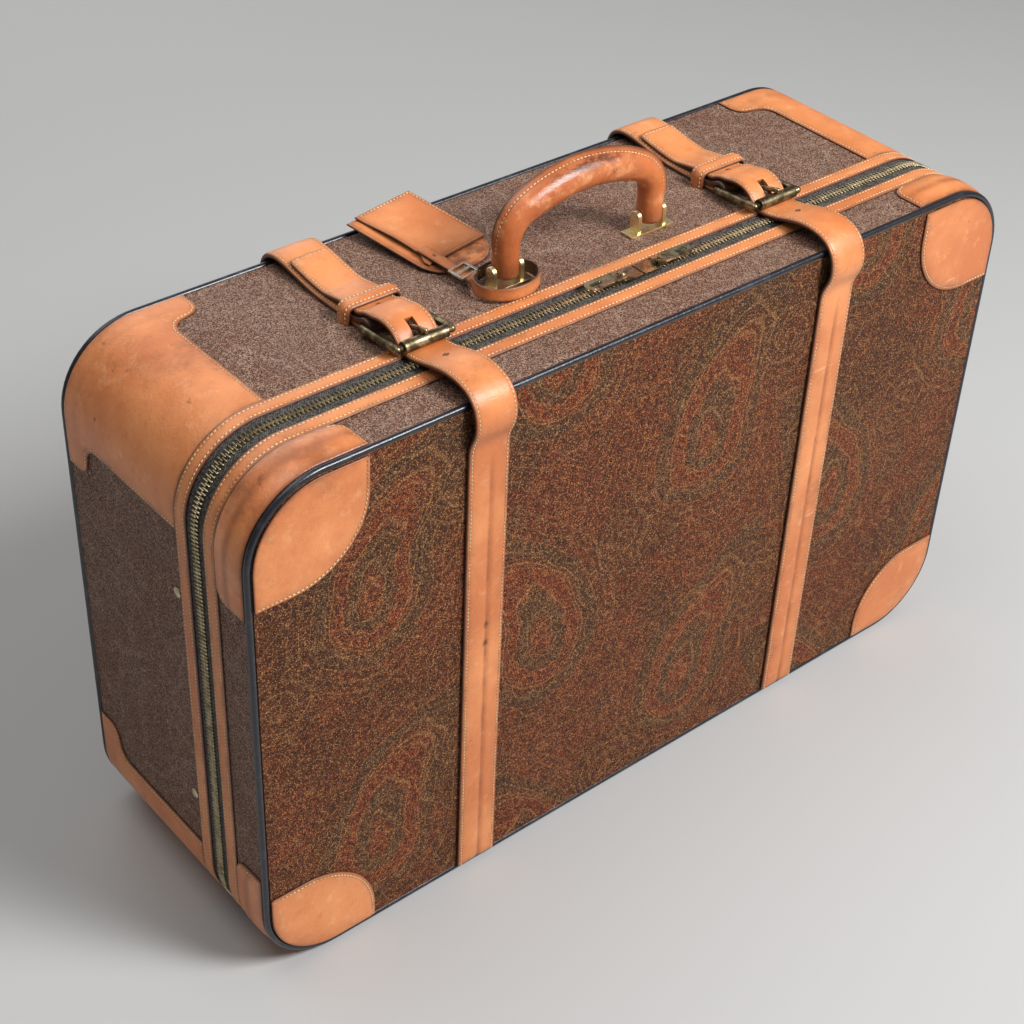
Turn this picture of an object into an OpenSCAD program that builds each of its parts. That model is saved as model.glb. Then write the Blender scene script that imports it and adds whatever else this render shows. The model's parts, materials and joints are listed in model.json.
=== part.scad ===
// Zipped suitcase in coated canvas with leather corners, belts and handle.
// Millimetres. X runs along the width, -Y is the front (the lid), +Z is up.
// The origin lies on the floor, in the middle of the width and the depth.

/* [Case] */
// Width over the leather
case_w = 700; // [560:1:820]
// Height over the leather, without the handle
case_h = 428; // [340:1:520]
// Depth of the body behind the middle of the zip
body_d = 166; // [140:1:220]
// Depth of the lid in front of the middle of the zip
lid_d = 58; // [50:1:90]
// Radius of the corners seen from the front
corner_r = 60; // [45:1:80]

/* [Walls] */
// Thickness of the wooden frame round the four sides
frame_t = 8; // [6:0.5:12]
// Thickness of the front and back panels
panel_t = 4; // [3:0.5:6]
// Thickness of the coated canvas
canvas_t = 0.8; // [0.5:0.1:1.5]
// Thickness of the lining
lining_t = 0.8; // [0.5:0.1:1.5]
// Distance from each wooden rim to the middle of the zip
rim_gap = 2; // [1.8:0.1:3]

/* [Leather] */
// Thickness of the trim and the corner patches
leather_t = 1.6; // [1.2:0.1:2.4]
// Width of the trim on each side of the zip
trim_w = 13; // [9:0.5:16]
// Reach of a body patch from the corner
patch_reach = 71; // [60:1:90]
// Radius of the two curves in the edge of a body patch
ogee_r = 13; // [8:0.5:16]
// Reach of a lid side patch from the corner
band_reach = 96; // [80:1:104]
// Radius of the round corner of a lid side patch
band_round_r = 12; // [8:0.5:14]
// Width of a front patch
face_w = 93; // [75:1:110]
// Height of an upper front patch
face_top_h = 88; // [75:1:110]
// Height of a lower front patch
face_low_h = 78; // [70:1:110]
// Radius of the inner corner of a front patch
face_r = 60; // [40:1:65]
// Diameter of the piping on the front and back edges
piping_d = 4.8; // [4.2:0.1:7]
// Diameter of a side stud
stud_d = 8; // [6:0.5:10]
// Distance of the upper studs below the top
stud_drop = 127; // [112:1:160]
// Height of the lower studs above the floor
stud_low = 116; // [104:1:160]

/* [Zip] */
// Width of the channel between the two trims
zip_gap = 20; // [18:0.5:24]
// Thickness of the tape
tape_t = 0.9; // [0.6:0.1:1.2]
// Spacing of the teeth along one side
tooth_pitch = 6.4; // [5.6:0.1:9]
// Length of a tooth along the zip
tooth_l = 2.2; // [1.4:0.1:2.4]
// Height of a tooth above the tape
tooth_h = 1.8; // [1.2:0.1:2]
// Reach of a tooth on its own side of the middle
tooth_reach = 4.4; // [3:0.1:5]
// Reach of a tooth past the middle
tooth_bite = 1.6; // [1:0.1:2]
// Height of the zip's two ends above the floor
zip_end_z = 12; // [8:1:40]
// Place where the two sliders meet
zip_meet_x = 18; // [-40:1:40]
// Length of a slider
slider_l = 20; // [16:0.5:26]
// Width of a slider
slider_w = 13; // [12:0.5:15]
// Length of a pull from its pivot
pull_l = 33; // [24:1:40]
// Width of a pull
pull_w = 11; // [9:0.5:12]

/* [Belts] */
// Distance of each belt from the middle
belt_x = 163; // [130:1:200]
// Width of a front strap
strap_w = 34; // [26:1:38]
// Thickness of a front strap
strap_t = 3.2; // [2.4:0.1:4]
// Width of a rear belt
belt_w = 39; // [34:0.5:40]
// Thickness of a rear belt
belt_t = 3.4; // [2.4:0.1:4]
// How far the loose loops stand out past the front and the back
loop_out = 10; // [8:0.5:14]
// Length of the loose loop below the top
loop_drop = 40; // [34:1:60]
// Distance of a strap's end from the back edge
strap_end_in = 22; // [16:1:32]
// Length of a keeper along the belt
keeper_l = 13; // [10:1:24]
// Thickness of a keeper
keeper_t = 2.6; // [1.6:0.1:3]

/* [Buckles] */
// Width of a buckle over its frame
buckle_w = 50; // [46:1:60]
// Distance from the rear bar to the roller
buckle_reach = 40; // [36:0.5:46]
// Diameter of the frame's bars
buckle_bar_d = 4.4; // [3.4:0.1:5]
// Diameter of the frame's sides
buckle_side_d = 5.4; // [4:0.1:5.6]
// Diameter of a roller
roller_d = 8.8; // [7.4:0.1:9.6]
// Distance of the rear bar behind the middle of the zip
buckle_back = 49; // [46:0.5:54]
// Diameter of a tongue
tongue_d = 3.6; // [2.8:0.1:4]

/* [Handle] */
// Distance of each handle foot from the middle
foot_x = 67; // [56:0.5:80]
// Distance of the handle's pivot behind the middle of the zip
handle_back = 44; // [40:0.5:50]
// Height of the handle's pivot above the leather
pivot_h = 12; // [10:0.5:15]
// Height of the grip's middle line above the leather
grip_h = 65.5; // [60:0.5:80]
// Diameter of the grip in the hand
grip_d = 24.4; // [22:0.2:30]
// Bend radius of the grip's middle line at its corners
grip_bend_r = 26; // [20:0.5:34]
// Radius of the grip's shallow arch between its corners
crown_r = 130; // [110:1:180]
// Diameter of the grip at its feet
grip_end_d = 20; // [17:0.2:22]
// Diameter of the handle pins
handle_pin_d = 4; // [3:0.1:5]
// Length of a foot plate
plate_l = 41; // [38:0.5:46]
// Width of a foot plate
plate_w = 12.5; // [11:0.5:16]
// Thickness of a foot plate
plate_t = 2; // [1.5:0.1:3]
// Thickness of a post
post_t = 3.5; // [2.5:0.1:4.5]

/* [Tag] */
// Width of the tag
tag_w = 64; // [56:1:70]
// Length of the tag
tag_l = 94; // [80:1:95]
// Thickness of each leaf
tag_leaf_t = 2; // [1.5:0.1:2.5]
// Width of the tag's strap
tag_strap_w = 10; // [8:0.5:10]
// Thickness of the tag's strap
tag_strap_t = 2; // [1.5:0.1:2.5]

/* [Hidden] */
$fn = 48;
clr = 0.3;
seat = 0.1;
// Depths of the main planes
back_y = (body_d + lid_d) / 2;
front_y = -back_y;
part_y = front_y + lid_d;
body_gap_y = part_y + zip_gap / 2;
body_trim_y = body_gap_y + trim_w;
lid_gap_y = part_y - zip_gap / 2;
lid_trim_y = lid_gap_y - trim_w;
// How far each layer lies inside the outline
board_in = leather_t + canvas_t;
cavity_in = board_in + frame_t;
lining_in = cavity_in + lining_t;
tape_in = board_in - tape_t;
seat_in = piping_d + seat;
piping_proud = 0.4;
seat_d = piping_d - piping_proud + seat;
canvas_z = case_h - leather_t;
// Zip path, by distance from the middle of the top
tooth_in = tape_in - tooth_h / 2;
tooth_r = corner_r - tooth_in;
run_top = case_w / 2 - corner_r;
run_side = case_h - 2 * corner_r;
arc_l = tooth_r * PI / 2;
zip_end_a = asin((corner_r - zip_end_z - tooth_l) / tooth_r);
zip_half = run_top + arc_l + run_side + tooth_r * zip_end_a * PI / 180;
zip_count = floor(zip_half / tooth_pitch - 0.5);
hinge_bead_r = 1.5;
hinge_up = 0.8;
hinge_strip_t = board_in - hinge_up;
// Side studs
stud_y = body_trim_y + 6.4;
stud_rim_t = 0.6;
stud_dome_t = 0.8;
stud_flat_d = 4;
// Zip sliders and pulls
slider_up = clr + tooth_h - tape_in;
slider_plate_t = 1.6;
slider_pivot_h = 1.7;
slider_gap = 2;
slider_end_r = slider_w / 2 - 0.5;
flange_l = slider_l - 6;
flange_t = 1;
sink = 0.5;
lug_w = 4;
lug_r = 2;
pull_pin_r = 0.9;
pull_t = 1.8;
pull_clr = 0.2;
pull_step = 1;
pull_eye_l = 7;
pull_eye_r = 2;
// Buckle
buckle_y = part_y + buckle_back;
bar_r = buckle_bar_d / 2;
bar_z = canvas_z + belt_t + clr + bar_r;
fold_r = bar_r + clr + belt_t / 2;
roller_z = case_h + strap_t + 2 * clr + roller_d / 2;
frame_tilt = asin((roller_z - bar_z) / buckle_reach);
roller_y = buckle_y - buckle_reach * cos(frame_tilt);
tongue_lift = asin((roller_d / 2 + tongue_d / 2 + clr) / buckle_reach);
tongue_slot = tongue_d + 3;
tongue_wall = 1.6;
tongue_tip = 2;
tongue_eye_w = tongue_d + 1;
roller_over = 1;
running_clr = 0.2;
roller_bore_r = bar_r + running_clr;
// Belts and keepers
keeper_y0 = buckle_y + 15;
keeper_y1 = keeper_y0 + keeper_l;
fold_gap = 0.2;
fold_z = canvas_z + 1.5 * belt_t + fold_gap;
fold_end_y = keeper_y1 + 3;
strap_over_belt = (belt_t + strap_t) / 2 + clr;
belt_hump_y = back_y - 66;
strap_end_y = back_y - strap_end_in;
hump_low = 16;
bow_low = 14;
bow_ease = 10;
bow_top = [front_y + 24, case_h + 10.5];
tail_peak_up = 2.4;
spare_hole_y = [front_y + 44, keeper_y0 - 5];
tail_slot_l = 15;
hump_x = back_y + loop_out - belt_t / 2;
bow_x = front_y - loop_out + strap_t / 2;
// Handle
handle_y = part_y + handle_back;
pivot_z = case_h + pivot_h;
grip_z = case_h + grip_h;
post_in = grip_end_d / 2 + clr;
post_r = 4.5;
heel_d = 16;
heel_h = 4;
// Tag
tag_turn = 10;
tag_tilt = 5;
tag_at = [-foot_x - 1, handle_y + 32, canvas_z + seat];
loop_half = [26, 20];
loop_at = [-foot_x - 2, handle_y - 4];
tag_near_r = 26;
tag_strap_at = [-20, -19];
tag_strap_l = 51;
tag_buckle_at = [-20, -6.5];
tag_buckle_l = 13.4;
tag_buckle_t = 2;
tag_buckle_rim = 2.4;
tag_buckle_slot = 4;
tag_strap_up = 2 * tag_leaf_t + 3 * clr;
// Colours
tan_leather = "#cc7a48";
dark_canvas = "#4a352a";
front_canvas = "#5a3022";
black = "#1c1d24";
brass = "#b9964f";
old_brass = "#6f5f3c";
wood = "#b08d63";
cloth = "#8d7a66";
nickel = "#c9c4b8";

// Points of a cubic curve from its four control points
function curve(p, n = 10) = [
  for (i = [0:n]) let (t = i / n, s = 1 - t)
    s * s * s * p[0] + 3 * s * s * t * p[1] + 3 * s * t * t * p[2] + t * t * t * p[3]
];
// Points of an arc about c, from angle a to angle b
function arc(c, r, a, b, n = 10) = [
  for (i = [0:n]) let (g = a + (b - a) * i / n) c + r * [cos(g), sin(g)]
];
// A path without its first point, to join it to the path before
function rest(p) = [for (i = [1:len(p) - 1]) p[i]];
// Left-hand unit normal of a path at point i
function normal(p, i) =
  let (d = p[min(i + 1, len(p) - 1)] - p[max(i - 1, 0)])
    [-d.y, d.x] / norm(d);
// The path moved sideways by a distance
function beside(p, d) = [for (i = [0:len(p) - 1]) p[i] + d * normal(p, i)];
function reversed(p) = [for (i = [len(p) - 1:-1:0]) p[i]];
// Where a distance s from the middle of the top lies on the zip: x, z and turn
function zip_at(s) =
  let (m = abs(s), k = s < 0 ? -1 : 1, side = m - run_top - arc_l)
    m < run_top ? [s, case_h - tooth_in, 0]
    : side < 0
      ? let (a = (m - run_top) / tooth_r * 180 / PI)
        [k * (run_top + tooth_r * sin(a)), case_h - corner_r + tooth_r * cos(a), -k * a]
    : side < run_side
      ? [k * (case_w / 2 - tooth_in), case_h - corner_r - side, -k * 90]
    : let (a = (side - run_side) / tooth_r * 180 / PI)
        [k * (run_top + tooth_r * cos(a)), corner_r - tooth_r * sin(a), -k * (90 + a)];

module flip(on, way) {
  if (on) mirror(way) children();
  else children();
}

// Outline of the case seen from the front, drawn in by a distance
module outline(inset) {
  translate([0, case_h / 2]) {
    square([case_w - 2 * inset, case_h - 2 * corner_r], center = true);
    square([case_w - 2 * corner_r, case_h - 2 * inset], center = true);
    for (sx = [-1, 1], sz = [-1, 1])
      translate([sx * (case_w / 2 - corner_r), sz * (case_h / 2 - corner_r)])
        circle(corner_r - inset, $fn = 96);
  }
}

// The outline as a solid between two depths
module slab(inset, y0, y1) {
  translate([0, y1, 0]) rotate([90, 0, 0]) linear_extrude(y1 - y0) outline(inset);
}

// A band that follows the outline between two depths
module band(outer, inner, y0, y1) {
  translate([0, y1, 0]) rotate([90, 0, 0]) linear_extrude(y1 - y0) difference() {
    outline(outer);
    outline(inner);
  }
}

// A round bead along the outline at one depth
module bead(y) {
  inset = piping_d / 2;
  translate([0, y, case_h / 2]) {
    for (s = [-1, 1]) {
      translate([-run_top, 0, s * (case_h / 2 - inset)]) rotate([0, 90, 0])
        cylinder(d = piping_d, h = 2 * run_top);
      translate([s * (case_w / 2 - inset), 0, -run_side / 2]) cylinder(d = piping_d, h = run_side);
    }
    for (q = [0:3])
      translate([run_top * (q == 0 || q == 3 ? 1 : -1), 0, run_side / 2 * (q < 2 ? 1 : -1)])
        rotate([90, 0, 0]) rotate([0, 0, q * 90])
          rotate_extrude(angle = 90, $fn = 96) translate([corner_r - inset, 0]) circle(d = piping_d);
  }
}

// Plan of a body patch: u from the corner, v from the back, where it flares
module ogee(reach, r, depth) {
  difference() {
    union() {
      translate([-1, 0]) square([reach + 1, depth]);
      translate([reach, 0]) square([r, 3 * r]);
      translate([reach, 0]) square([2 * r, r]);
      translate([reach + r, r]) circle(r);
    }
    translate([reach + r, 3 * r]) circle(r);
  }
}

// Plan of a lid patch: straight, with a round corner next to the trim
module round_end(reach, r, depth) {
  translate([-1, 0]) square([reach - r + 1, depth]);
  translate([0, r]) square([reach, depth - r]);
  translate([reach - r, r]) circle(r);
}

// A leather patch over one corner, cut to the same plan on both walls
module side_patch(sx, sz, y_end, depth) {
  intersection() {
    band(0, leather_t, y_end - depth, y_end);
    translate([sx * case_w / 2, y_end, sz > 0 ? case_h / 2 : -1]) linear_extrude(case_h / 2 + 1)
      flip(sx > 0, [1, 0, 0]) mirror([0, 1, 0]) children();
    translate([sx > 0 ? 0 : -case_w / 2 - 1, 0, 0]) rotate([90, 0, 90]) linear_extrude(case_w / 2 + 1)
      translate([y_end, sz > 0 ? case_h : 0]) flip(sz > 0, [0, 1, 0]) mirror([1, 0, 0])
        mirror([1, -1, 0]) children();
  }
}

module body_patch(sx, sz) {
  depth = back_y - seat_d - body_trim_y;
  color(tan_leather) side_patch(sx, sz, back_y - seat_d, depth) ogee(patch_reach, ogee_r, depth);
}

module lid_patch(sx, sz) {
  depth = lid_trim_y - front_y - seat_d;
  color(tan_leather) side_patch(sx, sz, lid_trim_y, depth) round_end(band_reach, band_round_r, depth);
}

// A leather patch on one corner of the front, rounded towards the middle
module front_patch(sx, sz, h) {
  color(tan_leather) translate([0, front_y, 0]) rotate([90, 0, 0]) linear_extrude(leather_t)
    intersection() {
      outline(seat_in);
      translate([sx * case_w / 2, sz > 0 ? case_h : 0]) flip(sx > 0, [1, 0, 0]) flip(sz > 0, [0, 1, 0]) {
        square([face_w, h - face_r]);
        square([face_w - face_r, h]);
        translate([face_w - face_r, h - face_r]) circle(face_r, $fn = 96);
      }
    }
}

// A strip that follows a path in depth and height, at one place across the width
module ribbon(path, thick, wide) {
  rotate([90, 0, 90]) linear_extrude(wide, center = true)
    polygon(concat(beside(path, thick / 2), reversed(beside(path, -thick / 2))));
}

// Body

module body_shell() {
  color(wood) difference() {
    union() {
      slab(board_in, part_y + rim_gap, back_y - seat_d);
      slab(seat_in, back_y - seat_d - 1, back_y - canvas_t);
    }
    slab(cavity_in, part_y, back_y - canvas_t - panel_t);
  }
}

module body_band() {
  color(dark_canvas) band(leather_t, board_in, body_gap_y, back_y - seat_d);
}

module body_back_cover() {
  color(front_canvas) slab(seat_in, back_y - canvas_t, back_y);
}

module body_lining() {
  color(cloth) difference() {
    slab(cavity_in, part_y + rim_gap, back_y - canvas_t - panel_t);
    slab(lining_in, part_y, back_y - canvas_t - panel_t - lining_t);
  }
}

module back_piping() {
  color(black) bead(back_y - seat_d + seat + piping_d / 2);
}

module body_trim() {
  color(tan_leather) band(0, leather_t, body_gap_y, body_trim_y);
}

// One side's zip tape, open at the bottom
module zip_tape(y0, y1) {
  color(black) difference() {
    band(tape_in, board_in, y0, y1);
    translate([-case_w / 2, y0 - 1, -1]) cube([case_w, y1 - y0 + 2, zip_end_z + 1]);
  }
}

module body_zip_tape() {
  zip_tape(part_y + seat, body_gap_y);
}

// One side's row of teeth, shifted along the zip by a share of the spacing
module zip_teeth(y0, y1, shift) {
  color(old_brass) translate([0, y1, 0]) rotate([90, 0, 0]) linear_extrude(y1 - y0)
    for (k = [-zip_count:zip_count]) let (p = zip_at((k + shift) * tooth_pitch))
      translate([p.x, p.y]) rotate(p.z) square([tooth_l, tooth_h], center = true);
}

module body_zip_teeth() {
  zip_teeth(part_y - tooth_bite, part_y + tooth_reach, 0);
}

module side_studs() {
  color(brass) for (sx = [-1, 1], z = [stud_low, case_h - stud_drop])
    translate([sx * (case_w / 2 - leather_t), stud_y, z]) rotate([0, sx * 90, 0]) {
      cylinder(d = stud_d, h = stud_rim_t);
      translate([0, 0, stud_rim_t]) cylinder(d1 = stud_d, d2 = stud_flat_d, h = stud_dome_t);
    }
}

module hinge_strip() {
  color(tan_leather) {
    translate([-run_top, part_y, hinge_bead_r]) rotate([0, 90, 0])
      cylinder(r = hinge_bead_r, h = 2 * run_top);
    translate([-run_top, part_y, hinge_up])
      cube([2 * run_top, zip_gap / 2 - seat, hinge_strip_t - seat]);
  }
}

// Middle line of the rear belt: up the back, over the top and round the buckle's bar
belt_back = concat(
  [[back_y + belt_t / 2, piping_d + 1]],
  curve([
    [back_y + belt_t / 2, case_h - loop_drop - 6], [back_y + belt_t / 2, case_h - loop_drop + 4],
    [hump_x, canvas_z - hump_low - bow_ease], [hump_x, canvas_z - hump_low]
  ])
);
belt_hump = curve([
  [hump_x, canvas_z - hump_low], [hump_x, canvas_z + 2.4 * loop_out],
  [(hump_x + belt_hump_y) / 2, canvas_z + belt_t / 2], [belt_hump_y, canvas_z + belt_t / 2]
], 20);
belt_fold = arc([buckle_y, bar_z], fold_r, 270, 90, 12);
belt_end = concat(
  curve([
    [buckle_y, bar_z + fold_r], [buckle_y + 6, bar_z + fold_r],
    [buckle_y + 7, fold_z], [keeper_y0 - 1, fold_z]
  ]),
  [[fold_end_y, fold_z]]
);

module rear_belt(x) {
  color(tan_leather) translate([x, 0, 0]) difference() {
    ribbon(concat(belt_back, rest(belt_hump), belt_fold, rest(belt_end)), belt_t, belt_w);
    translate([-tongue_slot / 2, buckle_y - fold_r - belt_t, canvas_z - 1])
      cube([tongue_slot, fold_r + belt_t + 6, 2 * fold_r + belt_t + 3]);
  }
}

// A loop that holds the strap's end down on the belt
module keeper(x) {
  half = belt_w / 2 + clr;
  high = fold_z + belt_t / 2 + strap_t + 2 * clr - canvas_z;
  color(tan_leather) translate([x, keeper_y1, canvas_z]) rotate([90, 0, 0]) linear_extrude(keeper_l)
    difference() {
      union() {
        translate([-half - keeper_t, 0]) square([2 * (half + keeper_t), high - keeper_t]);
        translate([-half + keeper_t, 0]) square([2 * (half - keeper_t), high + keeper_t]);
        for (s = [-1, 1]) translate([s * (half - keeper_t), high - keeper_t]) circle(2 * keeper_t);
      }
      translate([-half, -1]) square([2 * half, high + 1]);
    }
}

// Brass foot with two posts that hold the handle's pin
module handle_plate(x) {
  color(brass) translate([x, handle_y, 0]) {
    translate([-plate_l / 2, -plate_w / 2, canvas_z]) cube([plate_l, plate_w, plate_t]);
    difference() {
      for (s = [-1, 1]) translate([s > 0 ? post_in : -post_in - post_t, 0, 0]) {
        translate([0, -post_r, canvas_z + plate_t]) cube([post_t, 2 * post_r, pivot_z - canvas_z - plate_t]);
        translate([0, 0, pivot_z]) rotate([0, 90, 0]) cylinder(r = post_r, h = post_t);
      }
      translate([-plate_l / 2, 0, pivot_z]) rotate([0, 90, 0]) cylinder(d = handle_pin_d, h = plate_l);
    }
  }
}

module handle_pin(x) {
  color(brass) translate([x - post_in - post_t, handle_y, pivot_z]) rotate([0, 90, 0])
    cylinder(d = handle_pin_d, h = 2 * (post_in + post_t));
}

// Luggage tag: two leaves that hang over the back edge, a strap and a small buckle

module tag_place(lift) {
  translate(tag_at) rotate([0, 0, tag_turn]) rotate([tag_tilt, 0, 0]) translate([0, 0, lift]) children();
}

// One leaf, square at the far end and round at the near end
module tag_leaf(lift) {
  color(tan_leather) tag_place(lift) linear_extrude(tag_leaf_t) {
    translate([-tag_w / 2, tag_near_r]) square([tag_w, tag_l - tag_near_r]);
    translate([-tag_w / 2 + tag_near_r, 0]) square([tag_w - 2 * tag_near_r, tag_near_r + 1]);
    for (s = [-1, 1]) translate([s * (tag_w / 2 - tag_near_r), tag_near_r]) circle(tag_near_r);
  }
}

// Oval of the strap's loop round the handle's foot, seen from above
module loop_oval(grow) {
  half = loop_half + [grow, grow];
  flat = half.x - half.y;
  translate(loop_at) {
    square([2 * flat, 2 * half.y], center = true);
    for (s = [-1, 1]) translate([s * flat, 0]) circle(half.y, $fn = 64);
  }
}

module tag_strap() {
  color(tan_leather) {
    translate([0, 0, canvas_z + plate_t + seat]) linear_extrude(tag_strap_w) difference() {
      loop_oval(0);
      loop_oval(-tag_strap_t);
    }
    tag_place(tag_strap_up) translate([tag_strap_at.x - tag_strap_w / 2, tag_strap_at.y, 0])
      cube([tag_strap_w, tag_strap_l, tag_strap_t]);
  }
}

// Small frame with a middle bar, round the tag's strap
module tag_buckle() {
  inner_w = tag_strap_w + 3;
  color(nickel) tag_place(tag_strap_up + tag_strap_t + clr) translate(tag_buckle_at)
    linear_extrude(tag_buckle_t) difference() {
      square([inner_w + 2 * tag_buckle_rim, tag_buckle_l], center = true);
      for (s = [-1, 1]) translate([0, s * (tag_buckle_slot + tag_buckle_rim) / 2])
        square([inner_w, tag_buckle_slot], center = true);
    }
}

// Lid

module lid_shell() {
  color(wood) difference() {
    union() {
      slab(board_in, front_y + seat_d, part_y - rim_gap);
      slab(seat_in, front_y + canvas_t, front_y + seat_d + 1);
    }
    slab(cavity_in, front_y + canvas_t + panel_t, part_y);
  }
}

module lid_band() {
  color(dark_canvas) band(leather_t, board_in, front_y + seat_d, lid_gap_y);
}

module lid_front_cover() {
  color(front_canvas) slab(seat_in, front_y, front_y + canvas_t);
}

module lid_lining() {
  color(cloth) difference() {
    slab(cavity_in, front_y + canvas_t + panel_t, part_y - rim_gap);
    slab(lining_in, front_y + canvas_t + panel_t + lining_t, part_y);
  }
}

module front_piping() {
  color(black) bead(front_y + seat_d - seat - piping_d / 2);
}

module lid_trim() {
  color(tan_leather) band(0, leather_t, lid_trim_y, lid_gap_y);
}

module lid_zip_tape() {
  zip_tape(lid_gap_y, part_y - seat);
}

module lid_zip_teeth() {
  zip_teeth(part_y - tooth_reach, part_y + tooth_bite, 0.5);
}

module lid_hinge_strip() {
  near_y = part_y - hinge_bead_r - clr;
  color(tan_leather) translate([-run_top, lid_gap_y + seat, hinge_up])
    cube([2 * run_top, near_y - lid_gap_y - seat, hinge_strip_t - seat]);
}

// The part of a front strap that is sewn to the lid
module front_strap(x) {
  color(tan_leather) translate([x - strap_w / 2, front_y - strap_t, seat_in])
    cube([strap_w, strap_t, case_h - loop_drop - seat_in]);
}

// Middle line of the loose part: off the front, under the roller, up and back over the belt
tail_front = concat(
  [[front_y - strap_t / 2, case_h - loop_drop]],
  curve([
    [front_y - strap_t / 2, case_h - loop_drop + 2], [front_y - strap_t / 2, case_h - loop_drop + 12],
    [bow_x, case_h - bow_low - bow_ease], [bow_x, case_h - bow_low]
  ]),
  rest(curve([
    [bow_x, case_h - bow_low], [bow_x, case_h + 6], bow_top + [-18, 1.5], bow_top
  ])),
  rest(curve([
    bow_top, bow_top + [18, -1.5],
    [roller_y - 17, case_h + clr + strap_t / 2], [roller_y, case_h + clr + strap_t / 2]
  ]))
);
tail_peak = [buckle_y - 15, bar_z + fold_r + strap_over_belt + tail_peak_up];
tail_rise = curve([
  [roller_y, case_h + clr + strap_t / 2], [roller_y + 10, case_h + clr + strap_t / 2],
  [roller_y + 9, tail_peak.y], tail_peak
]);
tail_back = concat(
  curve([
    tail_peak, tail_peak + [8, 0],
    [buckle_y - 6, bar_z + fold_r + strap_over_belt], [buckle_y, bar_z + fold_r + strap_over_belt]
  ], 6),
  rest(beside(belt_end, strap_over_belt)),
  [for (p = beside(reversed(belt_hump), strap_over_belt)) if (p.x > fold_end_y + 8 && p.x < strap_end_y) p]
);

module strap_tail(x) {
  color(tan_leather) translate([x, 0, 0]) difference() {
    ribbon(concat(tail_front, rest(tail_rise), rest(tail_back)), strap_t, strap_w);
    translate([-tongue_slot / 2, roller_y + roller_d / 2, case_h + strap_t])
      cube([tongue_slot, tail_slot_l, fold_r + strap_over_belt + strap_t]);
    for (y = spare_hole_y) translate([0, y, case_h]) cylinder(d = tongue_d, h = 30);
  }
}

// Handle

module handle_grip() {
  bend_x = foot_x - grip_bend_r;
  crown_z = grip_z - crown_r;
  crown_a = asin(bend_x / (crown_r - grip_bend_r));
  bend_z = crown_z + (crown_r - grip_bend_r) * cos(crown_a);
  color(tan_leather) translate([0, handle_y, 0]) difference() {
    union() {
      translate([0, 0, crown_z]) rotate([90, 0, 0]) rotate([0, 0, 90 - crown_a])
        rotate_extrude(angle = 2 * crown_a, $fn = 192) translate([crown_r, 0]) circle(d = grip_d, $fn = 48);
      for (s = [-1, 1]) {
        translate([s * bend_x, 0, bend_z]) rotate([90, 0, 0]) rotate([0, 0, s > 0 ? 0 : 90 + crown_a])
          rotate_extrude(angle = 90 - crown_a) translate([grip_bend_r, 0]) circle(d = grip_d);
        translate([s * foot_x, 0, pivot_z + heel_h])
          cylinder(d1 = grip_end_d, d2 = grip_d, h = bend_z - pivot_z - heel_h);
        translate([s * foot_x, 0, pivot_z]) cylinder(d = grip_end_d, h = heel_h);
        translate([s * foot_x - grip_end_d / 2, 0, pivot_z]) rotate([0, 90, 0])
          cylinder(d = heel_d, h = grip_end_d);
      }
    }
    for (s = [-1, 1]) translate([s * foot_x - grip_d, 0, pivot_z]) rotate([0, 90, 0])
      cylinder(d = handle_pin_d + running_clr, h = 2 * grip_d);
  }
}

// Zip sliders and pulls

function slider_x(out) = zip_meet_x + out * (slider_gap + slider_l) / 2;

// Slider plan, round at the end that opens the zip
module slider_plan(out) {
  translate([out * (slider_l / 2 - slider_end_r), 0]) circle(slider_end_r);
  translate([out > 0 ? -slider_l / 2 : -slider_l / 2 + slider_end_r, -slider_w / 2])
    square([slider_l - slider_end_r, slider_w]);
}

module slider(out) {
  lug_x = out * slider_l / 4;
  lug_z = slider_plate_t + slider_pivot_h;
  flange_z = -slider_up - tape_in + clr;
  color(old_brass) translate([slider_x(out), part_y, case_h + slider_up]) difference() {
    union() {
      linear_extrude(slider_plate_t) slider_plan(out);
      translate([-flange_l / 2, slider_w / 2 - flange_t, flange_z])
        cube([flange_l, flange_t, sink - flange_z]);
      translate([lug_x - lug_r, -lug_w / 2, sink]) cube([2 * lug_r, lug_w, lug_z - sink]);
      translate([lug_x, lug_w / 2, lug_z]) rotate([90, 0, 0]) cylinder(r = lug_r, h = lug_w);
    }
    translate([lug_x, lug_w, lug_z]) rotate([90, 0, 0]) cylinder(r = pull_pin_r + pull_clr, h = 2 * lug_w);
  }
}

// Flat pull with an eye, hung on a pin through the slider's lug
module pull(out) {
  window = lug_w + 2 * clr;
  window_l = 2 * lug_r + 1;
  end_r = pull_w / 2;
  pivot_x = slider_x(out) + out * slider_l / 4;
  color(old_brass)
    translate([pivot_x, part_y, case_h + slider_up + slider_plate_t + slider_pivot_h])
      flip(out < 0, [1, 0, 0]) {
        translate([0, 0, -pull_t / 2]) linear_extrude(pull_t) difference() {
          union() {
            translate([-pull_pin_r, -pull_w / 2 + pull_step])
              square([pull_l - end_r, pull_w - 2 * pull_step]);
            translate([window_l, -pull_w / 2]) square([pull_l - end_r - window_l, pull_w]);
            translate([pull_l - end_r, 0]) circle(end_r);
          }
          translate([-2 * pull_pin_r, -window / 2]) square([window_l + 2 * pull_pin_r - pull_step, window]);
          translate([pull_l - end_r - pull_eye_l, -pull_eye_r]) square([pull_eye_l, 2 * pull_eye_r]);
          for (x = [pull_l - end_r - pull_eye_l, pull_l - end_r]) translate([x, 0]) circle(pull_eye_r);
        }
        translate([0, pull_w / 2 - pull_step, 0]) rotate([90, 0, 0])
          cylinder(r = pull_pin_r, h = pull_w - 2 * pull_step);
      }
}

// Buckles

// Things set out from the rear bar, tilted with the frame
module on_bar(x, lift) {
  translate([x, buckle_y, bar_z]) rotate([-frame_tilt - lift, 0, 0]) children();
}

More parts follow.
